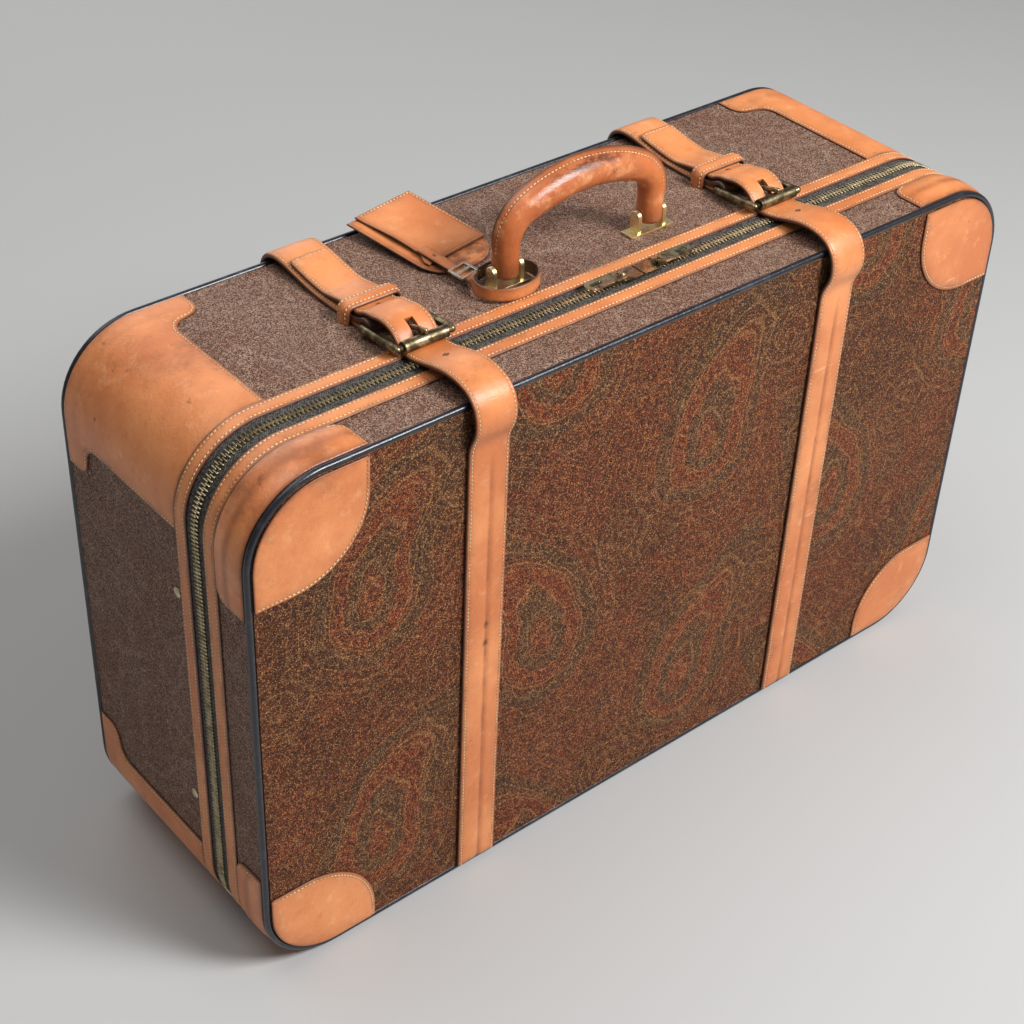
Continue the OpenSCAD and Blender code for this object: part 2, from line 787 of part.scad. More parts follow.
module buckle_frame(x) {
  half = (buckle_w - buckle_side_d) / 2;
  color(old_brass) on_bar(x, 0) {
    for (y = [0, -buckle_reach])
      translate([-half, y, 0]) rotate([0, 90, 0]) cylinder(d = buckle_bar_d, h = 2 * half);
    for (s = [-1, 1]) translate([s * half, 0, 0]) {
      rotate([90, 0, 0]) cylinder(d = buckle_side_d, h = buckle_reach);
      for (y = [0, -buckle_reach]) translate([0, y, 0]) sphere(d = buckle_side_d);
    }
  }
}

module roller(x) {
  long = strap_w + 2 * roller_over;
  color(old_brass) on_bar(x, 0) translate([-long / 2, -buckle_reach, 0]) rotate([0, 90, 0]) difference() {
    cylinder(d = roller_d, h = long);
    translate([0, 0, -1]) cylinder(r = roller_bore_r, h = long + 2);
  }
}

// A rod with a round tip, hung on the rear bar by a wider eye
module tongue(x) {
  eye_r = bar_r + running_clr;
  color(old_brass) on_bar(x, tongue_lift) difference() {
    union() {
      translate([-tongue_eye_w / 2, 0, 0]) rotate([0, 90, 0])
        cylinder(r = eye_r + tongue_wall, h = tongue_eye_w);
      rotate([90, 0, 0]) cylinder(d = tongue_d, h = buckle_reach + tongue_tip);
      translate([0, -buckle_reach - tongue_tip, 0]) sphere(d = tongue_d);
    }
    translate([-tongue_eye_w, 0, 0]) rotate([0, 90, 0]) cylinder(r = eye_r, h = 2 * tongue_eye_w);
  }
}

body_shell();
body_band();
body_back_cover();
body_lining();
body_patch(-1, 1);  // body_corner_top_left
body_patch(1, 1);  // body_corner_top_right
body_patch(-1, -1);  // body_corner_low_left
body_patch(1, -1);  // body_corner_low_right
back_piping();
body_trim();
body_zip_tape();
body_zip_teeth();
side_studs();
hinge_strip();
rear_belt(-belt_x);  // rear_belt_left
rear_belt(belt_x);  // rear_belt_right
keeper(-belt_x);  // keeper_left
keeper(belt_x);  // keeper_right
handle_plate(-foot_x);  // handle_plate_left
handle_plate(foot_x);  // handle_plate_right
handle_pin(-foot_x);  // handle_pin_left
handle_pin(foot_x);  // handle_pin_right
tag_leaf(0);  // tag_lower_leaf
tag_leaf(tag_leaf_t + clr);  // tag_upper_leaf
tag_strap();
tag_buckle();
lid_shell();
lid_band();
lid_front_cover();
lid_lining();
lid_patch(-1, 1);  // lid_corner_top_left
lid_patch(1, 1);  // lid_corner_top_right
lid_patch(-1, -1);  // lid_corner_low_left
lid_patch(1, -1);  // lid_corner_low_right
front_patch(-1, 1, face_top_h);  // front_corner_top_left
front_patch(1, 1, face_top_h);  // front_corner_top_right
front_patch(-1, -1, face_low_h);  // front_corner_low_left
front_patch(1, -1, face_low_h);  // front_corner_low_right
front_piping();
lid_trim();
lid_zip_tape();
lid_zip_teeth();
lid_hinge_strip();
front_strap(-belt_x);  // front_strap_left
front_strap(belt_x);  // front_strap_right
strap_tail(-belt_x);  // strap_tail_left
strap_tail(belt_x);  // strap_tail_right
handle_grip();
slider(-1);  // slider_left
slider(1);  // slider_right
pull(-1);  // pull_left
pull(1);  // pull_right
buckle_frame(-belt_x);  // buckle_frame_left
buckle_frame(belt_x);  // buckle_frame_right
roller(-belt_x);  // roller_left
roller(belt_x);  // roller_right
tongue(-belt_x);  // tongue_left
tongue(belt_x);  // tongue_right
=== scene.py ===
"""Looks of a zipped suitcase in coated canvas, with leather corners, belts, tag and handle.

Places are worked out in millimetres and turned into metres when a mesh is made.
X runs along the width, -Y is the front with the lid, +Z is up.
"""
import json
import math

import bmesh
import bpy
import numpy as np
from mathutils import Matrix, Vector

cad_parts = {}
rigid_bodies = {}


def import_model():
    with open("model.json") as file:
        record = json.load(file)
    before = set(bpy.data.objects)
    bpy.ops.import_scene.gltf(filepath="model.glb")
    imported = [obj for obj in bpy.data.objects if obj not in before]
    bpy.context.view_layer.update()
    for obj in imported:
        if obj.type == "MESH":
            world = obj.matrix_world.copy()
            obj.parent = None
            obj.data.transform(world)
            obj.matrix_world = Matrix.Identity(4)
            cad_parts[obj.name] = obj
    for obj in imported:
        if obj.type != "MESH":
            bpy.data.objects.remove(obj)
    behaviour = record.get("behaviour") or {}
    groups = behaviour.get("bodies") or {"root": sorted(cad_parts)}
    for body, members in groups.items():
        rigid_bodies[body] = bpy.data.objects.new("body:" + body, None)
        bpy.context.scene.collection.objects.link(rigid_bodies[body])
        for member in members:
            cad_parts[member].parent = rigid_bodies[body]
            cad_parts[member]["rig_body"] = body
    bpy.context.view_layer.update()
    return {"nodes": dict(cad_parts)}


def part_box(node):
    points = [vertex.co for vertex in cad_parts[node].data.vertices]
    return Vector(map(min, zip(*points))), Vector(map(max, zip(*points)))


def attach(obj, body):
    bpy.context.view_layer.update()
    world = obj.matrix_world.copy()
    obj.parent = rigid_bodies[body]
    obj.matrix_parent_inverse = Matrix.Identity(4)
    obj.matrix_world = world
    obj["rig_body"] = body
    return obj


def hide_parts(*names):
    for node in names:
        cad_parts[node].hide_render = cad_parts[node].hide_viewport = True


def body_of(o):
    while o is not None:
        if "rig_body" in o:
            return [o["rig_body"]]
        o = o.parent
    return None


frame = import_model()

MM = 0.001
SIDES = {"left": -1, "right": 1}
LEVELS = ("top", "low")


def solid_box(node):
    """Lowest and highest corner of a solid, in millimetres."""
    low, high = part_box(node)
    return np.array(low) / MM, np.array(high) / MM


# Case
piping_low, piping_high = solid_box("front_piping")
CASE_W = piping_high[0] - piping_low[0]
CASE_H = piping_high[2]
CORNER_R = 60.0
RUN_TOP = CASE_W / 2 - CORNER_R
RUN_SIDE = CASE_H - 2 * CORNER_R
QUARTER = CORNER_R * np.pi / 2
ROUND_TRIP = 4 * (RUN_TOP + QUARTER) + 2 * RUN_SIDE
LEATHER_T = 1.6
CANVAS_Z = CASE_H - LEATHER_T
BODY_TRIM = (solid_box("body_trim")[0][1], solid_box("body_trim")[1][1])
LID_TRIM = (solid_box("lid_trim")[0][1], solid_box("lid_trim")[1][1])
PART_Y = (BODY_TRIM[0] + LID_TRIM[1]) / 2
FRONT_Y = solid_box("lid_front_cover")[0][1]
BACK_Y = solid_box("body_back_cover")[1][1]
BODY_BACK_EDGE = solid_box("body_band")[1][1]
LID_FRONT_EDGE = solid_box("lid_band")[0][1]
PIPING_SEAT = CASE_W / 2 - solid_box("lid_front_cover")[1][0]
CLEAR = 0.3

# Corner patches
PATCH_REACH = 71.0
OGEE_R = 13.0
BAND_REACH = 96.0
BAND_ROUND_R = 12.0
FACE_W = 93.0
FACE_H = {"top": 88.0, "low": 78.0}
FACE_R = 60.0
PUFF_REACH = 14.0

# Belts and buckles
BELT_X = 163.0
STRAP_W = 34.0
STRAP_T = 3.2
BELT_W = 39.0
BELT_T = 3.4
LOOP_OUT = 10.0
LOOP_DROP = 40.0
BUCKLE_Y = PART_Y + 49
BUCKLE_REACH = 40.0
BAR_R = 2.2
BAR_Z = CANVAS_Z + BELT_T + CLEAR + BAR_R
FOLD_R = BAR_R + CLEAR + BELT_T / 2
ROLLER_R = 4.4
ROLLER_Z = CASE_H + STRAP_T + 2 * CLEAR + ROLLER_R
ROLLER_Y = BUCKLE_Y - math.sqrt(BUCKLE_REACH**2 - (ROLLER_Z - BAR_Z) ** 2)
TONGUE_SLOT = 6.6
SLOT_L = 15.0
KEEPER_Y = (BUCKLE_Y + 15, BUCKLE_Y + 28)
KEEPER_T = 2.6
KEEPER_PUFF = 2.4
KEEPER_BEND_R = 4.2
FOLD_Z = CANVAS_Z + 1.5 * BELT_T + 0.2
FOLD_END = KEEPER_Y[1] + 3
STRAP_OVER = (BELT_T + STRAP_T) / 2 + CLEAR
STRAP_END = BACK_Y - 22
HUMP_Y = BACK_Y - 66

# Handle and tag
HANDLE_Y = PART_Y + 44
PIVOT_Z = CASE_H + 12
GRIP_Z = CASE_H + 65.5
GRIP_BEND_R = 26.0
CROWN_R = 130.0
FOOT_X = 67.0
TAG_AT = np.array([-FOOT_X - 1, HANDLE_Y + 32, CANVAS_Z + 0.1])
TAG_TURN = math.radians(10)
TAG_TILT = math.radians(5)
TAG_W = 64.0
TAG_L = 94.0
TAG_NEAR_R = 26.0
TAG_LEAF_T = 2.0
TAG_STRAP_W = 10.0
TAG_STRAP_T = 2.0
TAG_STRAP_X = -20.0
TAG_STRAP_END = 33.0
TAG_HOLES = (12.0, 52.0)
TAG_LOOP = (25.0, 19.0)

# Zip
TOOTH_PITCH = 3.2
TOOTH_L = 1.3
TOOTH_H = 2.0
TOOTH_REACH = 4.4
TOOTH_BITE = 1.2
TOOTH_IN = 0.6
ZIP_END_Z = 12.0

# Sewing
STITCH_PITCH = 3.2
STITCH_L = 2.3
STITCH_W = 0.85
STITCH_H = 0.45
STITCH_IN = 2.4
SEAM_W = 0.6
SEAM_DEPTH = 0.3


# Materials

class Field:
    """A number that a material works out at each point. Sums, products and the like add math nodes."""

    def __init__(self, tree, socket):
        self.tree = tree
        self.socket = socket

    def math(self, kind, *others):
        """One math node of a kind, on this field and others."""
        node = self.tree.nodes.new("ShaderNodeMath")
        node.operation = kind
        for place, value in zip(node.inputs, (self, *others)):
            if isinstance(value, Field):
                self.tree.links.new(value.socket, place)
            else:
                place.default_value = value
        return Field(self.tree, node.outputs[0])

    def __add__(self, other):
        return self.math("ADD", other)

    def __sub__(self, other):
        return self.math("SUBTRACT", other)

    def __mul__(self, other):
        return self.math("MULTIPLY", other)

    def __truediv__(self, other):
        return self.math("DIVIDE", other)

    def step(self, low, high):
        """0 below low, 1 above high, smooth between."""
        node = self.tree.nodes.new("ShaderNodeMapRange")
        node.interpolation_type = "SMOOTHSTEP"
        self.tree.links.new(self.socket, node.inputs[0])
        node.inputs[1].default_value = low
        node.inputs[2].default_value = high
        return Field(self.tree, node.outputs[0])

    def line(self, level, width):
        """1 where the field is at a level, falling to 0 over a width on both sides."""
        return (self - level).math("ABSOLUTE").step(width, width * 0.3)


class Finish:
    """A material being made: its shader, its coordinates and short ways to add textures."""

    def __init__(self, name, **sockets):
        self.material = bpy.data.materials.new(name)
        self.material.use_nodes = True
        self.tree = self.material.node_tree
        self.shader = self.tree.nodes["Principled BSDF"]
        for socket, value in sockets.items():
            self.shader.inputs[socket.replace("_", " ").title()].default_value = value
        self.coordinates = self.tree.nodes.new("ShaderNodeTexCoord")

    def place(self):
        """The point's own place in metres, as three fields."""
        node = self.tree.nodes.new("ShaderNodeSeparateXYZ")
        self.tree.links.new(self.coordinates.outputs["Object"], node.inputs[0])
        return [Field(self.tree, out) for out in node.outputs]

    def attribute(self, name):
        """A mark that the mesh carries at each point."""
        node = self.tree.nodes.new("ShaderNodeAttribute")
        node.attribute_name = name
        return Field(self.tree, node.outputs["Fac"])

    def mapped(self, stretch, shift):
        """The point's place, stretched and moved aside."""
        node = self.tree.nodes.new("ShaderNodeMapping")
        node.inputs["Scale"].default_value = stretch
        node.inputs["Location"].default_value = (shift, shift * 0.7, shift * 1.3)
        self.tree.links.new(self.coordinates.outputs["Object"], node.inputs["Vector"])
        return node.outputs[0]

    def noise(self, scale, detail=2.0, rough=0.5, stretch=(1, 1, 1), shift=0.0):
        """Cloudy noise from 0 to 1; scale is its lumps per metre."""
        node = self.tree.nodes.new("ShaderNodeTexNoise")
        node.inputs["Scale"].default_value = scale
        node.inputs["Detail"].default_value = detail
        node.inputs["Roughness"].default_value = rough
        self.tree.links.new(self.mapped(stretch, shift), node.inputs["Vector"])
        return Field(self.tree, node.outputs["Fac"])

    def threads(self, size):
        """A random number for each crossing of two threads: the place snapped to a grid of a size."""
        snap = self.tree.nodes.new("ShaderNodeVectorMath")
        snap.operation = "SNAP"
        snap.inputs[1].default_value = (size, size, size)
        self.tree.links.new(self.mapped((1, 1, 1), 0.00037), snap.inputs[0])
        node = self.tree.nodes.new("ShaderNodeTexWhiteNoise")
        self.tree.links.new(snap.outputs[0], node.inputs["Vector"])
        return Field(self.tree, node.outputs["Value"])

    def cells(self, scale):
        """Distance from the middle of the nearest of many random cells; scale is cells per metre."""
        node = self.tree.nodes.new("ShaderNodeTexVoronoi")
        node.inputs["Scale"].default_value = scale
        self.tree.links.new(self.mapped((1, 1, 1), 0.0), node.inputs["Vector"])
        return Field(self.tree, node.outputs["Distance"])

    def mix(self, share, first, second):
        """A blend of two colours, from the first at share 0 to the second at share 1."""
        node = self.tree.nodes.new("ShaderNodeMix")
        node.data_type = "RGBA"
        self.tree.links.new(share.socket, node.inputs[0])
        for place, colour in ((node.inputs[6], first), (node.inputs[7], second)):
            if isinstance(colour, tuple):
                place.default_value = (*colour, 1)
            else:
                self.tree.links.new(colour, place)
        return node.outputs[2]

    def colour(self, socket):
        """Sends a colour to the shader."""
        self.tree.links.new(socket, self.shader.inputs["Base Color"])

    def rough(self, field):
        """Sends a field to the shader's roughness."""
        self.tree.links.new(field.socket, self.shader.inputs["Roughness"])

    def bump(self, field, depth):
        """Raises the surface by the field times a depth in metres."""
        node = self.tree.nodes.new("ShaderNodeBump")
        node.inputs["Strength"].default_value = 1.0
        node.inputs["Distance"].default_value = depth
        self.tree.links.new(field.socket, node.inputs["Height"])
        self.tree.links.new(node.outputs[0], self.shader.inputs["Normal"])


TAN = (0.78, 0.285, 0.098)
TAN_DEEP = (0.58, 0.168, 0.046)
TAN_PALE = (0.88, 0.43, 0.20)
GRIP_TAN = (0.62, 0.190, 0.061)
GRIP_DEEP = (0.41, 0.098, 0.025)
# Dark brown for real stains and scuffs, also used as painted shade in seam grooves, strap creases and
# holes and as the handle's painted shadow on the tag
STAIN_AND_SHADE = (0.145, 0.042, 0.017)
# Brown for the real stain line along the piping, and also as painted shade along the straps' creases
STREAK_AND_CREASE_SHADE = (0.34, 0.098, 0.030)
EDGE_PAINT = (0.085, 0.014, 0.010)
# Near black for the real painted edges of the leather, and also as painted shade on the undersides of
# sheets
EDGE_DARK_AND_UNDER_SHADE = (0.030, 0.015, 0.011)


def leather(name, light=TAN, deep=TAN_DEEP, shine=0.44, wear=1.0):
    """Tan leather: blotches, mottling, stains, rubbed places, fine scratches, grain and dark edges,
    with painted shade in seam grooves, creases and holes, on undersides and where the handle shades the
    tag.
    """
    finish = Finish(name, coat_weight=0.15, coat_roughness=0.3)
    blotch = finish.noise(10, 6, 0.62)
    tone = finish.mix(blotch.step(0.34, 0.66), light, deep)
    mottle = finish.noise(70, 6, 0.68, shift=3.0)
    tone = finish.mix(mottle.step(0.52, 0.74) * 0.55, tone, TAN_PALE)
    tone = finish.mix(mottle.step(0.46, 0.28) * 0.6, tone, deep)
    stain = finish.noise(8, 9, 0.72, shift=7.0).step(0.55, 0.72)
    tone = finish.mix(stain * (0.5 * wear), tone, STAIN_AND_SHADE)
    spot = finish.noise(75, 4, 0.6, (1, 1, 0.7), 11.0).step(0.67, 0.75)
    tone = finish.mix(spot * (0.6 * wear), tone, STAIN_AND_SHADE)
    scratch = finish.noise(130, 2, 0.5, (0.12, 1, 1), 5.0).step(0.68, 0.74)
    scratch = scratch * finish.noise(14, 2, shift=13.0).step(0.5, 0.62)
    tone = finish.mix(scratch * (0.55 * wear), tone, TAN_PALE)
    tone = finish.mix(finish.attribute("rim") * 0.8, tone, EDGE_DARK_AND_UNDER_SHADE)
    # The streak mark: a real stain line along the piping on the lid patches, and painted shade along
    # the straps' creases
    streak = finish.attribute("streak") * (mottle.step(0.30, 0.56) * 0.6 + 0.4)
    tone = finish.mix(streak, tone, STREAK_AND_CREASE_SHADE)
    tone = finish.mix(finish.attribute("worn") * mottle.step(0.3, 0.62) * 0.55, tone, STAIN_AND_SHADE)
    # The seam mark is painted shade in the groove along each row of stitches
    tone = finish.mix(finish.attribute("seam") * 0.42, tone, STAIN_AND_SHADE)
    tone = finish.mix(finish.attribute("paint"), tone, EDGE_PAINT)
    scuff = finish.noise(160, 5, 0.7, (0.6, 1, 1), 17.0).step(0.40, 0.58)
    # The stain mark: real rubbed scuffs on the grip, and painted shade in the straps' creases and
    # holes, in the tag strap's holes and as the handle's painted shadow on the tag
    mark = finish.attribute("stain") * (scuff * 0.8 + 0.2)
    tone = finish.mix(mark.math("MINIMUM", 1.0), tone, STAIN_AND_SHADE)
    # The underside mark paints shade on the second side of every leather sheet
    tone = finish.mix(finish.attribute("under") * 0.9, tone, EDGE_DARK_AND_UNDER_SHADE)
    finish.colour(tone)
    grain = finish.cells(1150)
    finish.rough(grain * 0.1 + mottle * 0.22 + stain * 0.08 + (shine - 0.16))
    finish.bump(grain * 0.3 + finish.noise(420, 3) * 0.5 + finish.noise(60, 3) * 2.2, 0.00035)
    return finish.material


CANVAS_DARK = (0.024, 0.013, 0.009)
CANVAS_BROWN = (0.185, 0.104, 0.072)
CANVAS_TAN = (0.42, 0.290, 0.215)
CANVAS_GOLD = (0.56, 0.285, 0.110)
CANVAS_RUST = (0.285, 0.056, 0.022)
CANVAS_UMBER = (0.130, 0.044, 0.020)
CANVAS_OLIVE = (0.106, 0.072, 0.037)
CANVAS_SHEEN = 0.22
THREAD = 0.0008


def plain_canvas(name):
    """Side canvas: brown threads among dark, pale and rust ones, with faint waving lines woven in."""
    finish = Finish(name, roughness=0.6)
    finish.shader.inputs["Specular IOR Level"].default_value = CANVAS_SHEEN
    thread_tone = finish.threads(THREAD * 0.85)
    soft = finish.noise(1100, 2, 0.6)
    waves = (finish.noise(9, 2, shift=9.0) * 14.0).math("FRACT").line(0.5, 0.16)
    tone = finish.mix(finish.noise(18, 3).step(0.42, 0.62) * 0.5, CANVAS_BROWN, CANVAS_UMBER)
    tone = finish.mix(thread_tone.step(0.40, 0.30) * 0.8, tone, CANVAS_DARK)
    tone = finish.mix((thread_tone + waves * 0.2).step(0.68, 0.86) * 0.75, tone, CANVAS_TAN)
    tone = finish.mix(soft.step(0.44, 0.34) * 0.65, tone, CANVAS_DARK)
    tone = finish.mix(soft.step(0.57, 0.65) * 0.6, tone, CANVAS_RUST)
    finish.colour(tone)
    finish.bump(thread_tone * 0.5 + soft, 0.0002)
    return finish.material


BOTEH_PITCH = (0.150, 0.230)
BOTEH_R = 0.036
TIP_BEND = 4.2


def boteh_place(finish, shift):
    """Place across and along a cell of the half-drop pattern, mirrored in every second column."""
    x, y, z = finish.place()
    x = x + (finish.noise(13, 2) - 0.5) * 0.026 + shift[0]
    z = z + (finish.noise(13, 2, shift=2.0) - 0.5) * 0.026 + shift[1]
    odd = (x / BOTEH_PITCH[0]).math("FLOOR").math("FLOORED_MODULO", 2.0)
    turned = odd * -2.0 + 1.0
    across = ((x / BOTEH_PITCH[0]).math("FRACT") - 0.5) * BOTEH_PITCH[0] * turned
    along = ((z / BOTEH_PITCH[1] + odd * 0.5).math("FRACT") - 0.40) * BOTEH_PITCH[1]
    return across, along


def printed_canvas(name):
    """Front and back canvas: curled drops in rust, olive and gold threads, with spirals between.

    Each drop lies round its cell's middle: the cell is bent sideways by the square of the height, and
    the edge's radius swells to a tip upwards. Shares of that radius give nested lines, scallops and a
    rosette.
    """
    finish = Finish(name, roughness=0.56)
    finish.shader.inputs["Specular IOR Level"].default_value = CANVAS_SHEEN / 2
    across, along = boteh_place(finish, (0.03, 0.02))
    rise = along.math("MAXIMUM", 0.0)
    bent = across - rise * rise * TIP_BEND
    far = (bent * bent + along * along).math("SQRT")
    way = bent.math("ARCTAN2", along)
    swell = ((way / 0.62).math("POWER", 2.0) * -1.0).math("EXPONENT")
    share = far / (swell * (BOTEH_R * 1.55) + BOTEH_R)
    scallop = (way * 11.0).math("SINE") * 0.035
    petals = (way * 6.0).math("SINE") * 0.04
    side, height = boteh_place(finish, (0.03 + BOTEH_PITCH[0] / 2, 0.02 + BOTEH_PITCH[1] * 0.22))
    wide = (side * side + height * height).math("SQRT")
    winding = side.math("ARCTAN2", height) / (2 * math.pi) + wide / 0.0105
    spiral = winding.math("FRACT").line(0.5, 0.11) * wide.step(0.036, 0.030)
    flow = finish.noise(30, 1.2, 0.4, shift=31.0) * 11.0
    curls = flow.math("FRACT").line(0.5, 0.15)
    furrows = (flow + 0.5).math("FRACT").line(0.5, 0.32)
    patch = finish.noise(13, 4, 0.6, shift=21.0)
    tone = finish.mix(patch.step(0.36, 0.64) * 0.75, CANVAS_UMBER, CANVAS_RUST)
    tone = finish.mix(patch.step(0.54, 0.72) * 0.55, tone, CANVAS_OLIVE)
    tone = finish.mix(share.line(1.24, 0.22) * 0.6, tone, CANVAS_OLIVE)
    tone = finish.mix(share.step(1.04, 0.94) * 0.8, tone, CANVAS_RUST)
    tone = finish.mix((share + scallop).step(0.68, 0.54) * 0.75, tone, CANVAS_OLIVE)
    tone = finish.mix((share + petals).step(0.34, 0.26) * 0.8, tone, CANVAS_RUST)
    tone = finish.mix(wide.step(0.046, 0.034) * 0.55, tone, CANVAS_UMBER)
    tone = finish.mix(furrows * 0.45, tone, CANVAS_UMBER)
    lines = share.line(1.0, 0.026) + share.line(0.92, 0.020) * 0.7 + (share + scallop).line(0.66, 0.024)
    lines = lines + (share + petals).line(0.36, 0.026) * 0.8 + (share + petals).line(0.20, 0.026) * 0.8
    lines = lines + (share + scallop * 1.4).line(1.13, 0.024) * 0.8 + share.line(1.42, 0.022) * 0.7
    lines = lines + share.line(1.64, 0.022) * 0.6 + share.line(1.90, 0.026) * 0.6 + spiral * 0.7
    dots = finish.cells(150).step(0.26, 0.14) * share.line(0.5, 0.14)
    lines = (lines + dots * 0.6 + curls * 0.5).math("MINIMUM", 1.0)
    thread_tone = finish.threads(THREAD * 0.85)
    soft = finish.noise(1200, 2, 0.6)
    tone = finish.mix((thread_tone - lines * 0.12).step(0.56, 0.46) * 0.90, tone, CANVAS_DARK)
    tone = finish.mix(lines * soft.step(0.34, 0.54) * 0.24, tone, CANVAS_GOLD)
    tone = finish.mix((thread_tone + lines * 0.1).step(0.89, 0.95) * 0.62, tone, CANVAS_GOLD)
    tone = finish.mix(soft.step(0.45, 0.36) * 0.55, tone, CANVAS_DARK)
    finish.colour(tone)
    finish.bump(thread_tone * 0.5 + soft, 0.0002)
    return finish.material


PIPING_BLACK = (0.006, 0.007, 0.013)
PIPING_RUBBED = (0.03, 0.031, 0.042)
TAPE_BLACK = (0.020, 0.018, 0.017)
TAPE_GREY = (0.105, 0.092, 0.078)
TAPE_DUST = (0.17, 0.14, 0.11)
LINING_DEEP = (0.24, 0.165, 0.11)
LINING_PALE = (0.33, 0.24, 0.165)
WOOD_PALE = (0.45, 0.29, 0.15)
WOOD_DEEP = (0.33, 0.19, 0.09)
THREAD_CREAM = (0.76, 0.56, 0.32)
THREAD_DIRTY = (0.44, 0.24, 0.105)


def piping_vinyl(name):
    """Blue-black glossy piping with fine ripples and rubbed places."""
    finish = Finish(name, coat_weight=0.3, coat_roughness=0.2)
    rub = finish.noise(60, 4, 0.65)
    finish.colour(finish.mix(rub.step(0.5, 0.72), PIPING_BLACK, PIPING_RUBBED))
    finish.rough(rub * 0.3 + 0.2)
    finish.bump(finish.noise(260, 2), 0.0003)
    return finish.material


def tape_weave(name):
    """Black zip tape in a fine herringbone."""
    finish = Finish(name, roughness=0.85)
    x, y, z = finish.place()
    rib = ((x + z) * 3400).math("SINE") * (y * 2600).math("SINE")
    dust = finish.noise(120, 4, 0.7)
    tone = finish.mix(finish.threads(0.001).step(0.2, 0.9), TAPE_BLACK, TAPE_GREY)
    finish.colour(finish.mix(dust.step(0.55, 0.8) * 0.4, tone, TAPE_DUST))
    finish.bump(rib, 0.0002)
    return finish.material


def metal(name, bright, dull, shine, tarnish):
    """Brass or nickel: bright where it is rubbed, dull in blotches, with faint scratches."""
    finish = Finish(name, metallic=1.0)
    blotch = finish.noise(140, 5, 0.65)
    share = blotch.step(tarnish - 0.12, tarnish + 0.12)
    scratch = finish.noise(900, 2, 0.6, (0.2, 1, 1), 2.0)
    finish.colour(finish.mix(share, dull, bright))
    finish.rough(share * -0.12 + scratch * 0.12 + (shine + 0.06))
    finish.bump(scratch, 0.00004)
    return finish.material


def cotton_lining(name):
    """Beige cotton lining with a plain weave."""
    finish = Finish(name, roughness=0.9)
    x, y, z = finish.place()
    weave = ((x + y) * 3000).math("SINE") * ((z + y) * 3000).math("SINE")
    finish.colour(finish.mix(weave.step(-0.8, 0.8), LINING_DEEP, LINING_PALE))
    finish.bump(weave, 0.0002)
    return finish.material


def frame_wood(name):
    """Pale plywood with long grain."""
    finish = Finish(name, roughness=0.6)
    grain = finish.noise(30, 5, 0.6, (1, 1, 9))
    finish.colour(finish.mix(grain.step(0.35, 0.65), WOOD_PALE, WOOD_DEEP))
    finish.bump(grain, 0.0003)
    return finish.material


def sewing_thread(name):
    """Cream waxed thread with a twist, darkened here and there."""
    finish = Finish(name, roughness=0.65)
    dirt = finish.noise(45, 4, 0.65)
    finish.colour(finish.mix(dirt.step(0.44, 0.68), THREAD_CREAM, THREAD_DIRTY))
    finish.bump(finish.noise(1500, 1, stretch=(1, 0.4, 1)), 0.0002)
    return finish.material


tan = leather("tan_leather")
grip_tan = leather("grip_leather", GRIP_TAN, GRIP_DEEP, shine=0.32, wear=1.2)
lid_tan = leather("lid_corner_leather", shine=0.34, wear=1.2)
thread = sewing_thread("cream_thread")
old_brass = metal("antique_brass", (0.36, 0.29, 0.175), (0.085, 0.066, 0.036), 0.34, 0.52)
chain_brass = metal("zip_brass", (0.66, 0.56, 0.37), (0.34, 0.27, 0.15), 0.31, 0.46)
pull_brass = metal("pull_brass", (0.80, 0.70, 0.47), (0.13, 0.102, 0.06), 0.24, 0.48)
gold_brass = metal("polished_brass", (0.93, 0.77, 0.44), (0.70, 0.53, 0.25), 0.34, 0.42)
nickel = metal("nickel", (0.74, 0.68, 0.56), (0.38, 0.33, 0.25), 0.36, 0.46)
for finish, *nodes in (
    (plain_canvas("side_canvas"), "body_band", "lid_band"),
    (printed_canvas("printed_canvas"), "lid_front_cover", "body_back_cover"),
    (piping_vinyl("piping_vinyl"), "front_piping", "back_piping"),
    (tape_weave("zip_tape_weave"), "body_zip_tape", "lid_zip_tape"),
    (cotton_lining("cotton_lining"), "body_lining", "lid_lining"),
    (frame_wood("frame_plywood"), "body_shell", "lid_shell"),
    (tan, "hinge_strip", "lid_hinge_strip"),
):
    for node in nodes:
        solid = frame["nodes"][node]
        solid.data.materials.clear()
        solid.data.materials.append(finish)


# Paths

def curve(points, count=14):
    """Cubic curve through the weights of its four control points."""
    t = np.linspace(0, 1, count)[:, None]
    a, b, c, d = np.array(points, float)
    return (1 - t) ** 3 * a + 3 * (1 - t) ** 2 * t * b + 3 * (1 - t) * t**2 * c + t**3 * d


def arc(centre, radius, start, end, count=14):
    """Points on a circle between two angles in degrees."""
    turn = np.radians(np.linspace(start, end, count))
    return np.array(centre) + radius * np.stack([np.cos(turn), np.sin(turn)], -1)


def chain(*paths):
    """Paths laid end to end, without the points that would come twice."""
    points = np.concatenate([np.atleast_2d(np.array(path, float)) for path in paths])
    apart = np.linalg.norm(np.diff(points, axis=0), axis=1) > 1e-6
    return points[np.concatenate([[True], apart])]


def travelled(path):
    """Distance along a path to each of its points."""
    return np.concatenate([[0], np.cumsum(np.linalg.norm(np.diff(path, axis=0), axis=1))])


def evenly(path, step):
    """The same path with its points an even step apart."""
    far = travelled(path)
    stops = np.linspace(0, far[-1], max(2, int(round(far[-1] / step)) + 1))
    return np.stack([np.interp(stops, far, path[:, k]) for k in range(path.shape[1])], -1)


def eased(path, passes):
    """The path with its bends eased: each pass moves a point towards the mean of its neighbours."""
    path = path.copy()
    for _ in range(passes):
        path[1:-1] = (path[:-2] + 2 * path[1:-1] + path[2:]) / 4
    return path


def left_of(path):
    """Unit direction to the left of a flat path at each point."""
    ahead = np.gradient(path, axis=0)
    ahead /= np.linalg.norm(ahead, axis=1, keepdims=True)
    return np.stack([-ahead[:, 1], ahead[:, 0]], -1)


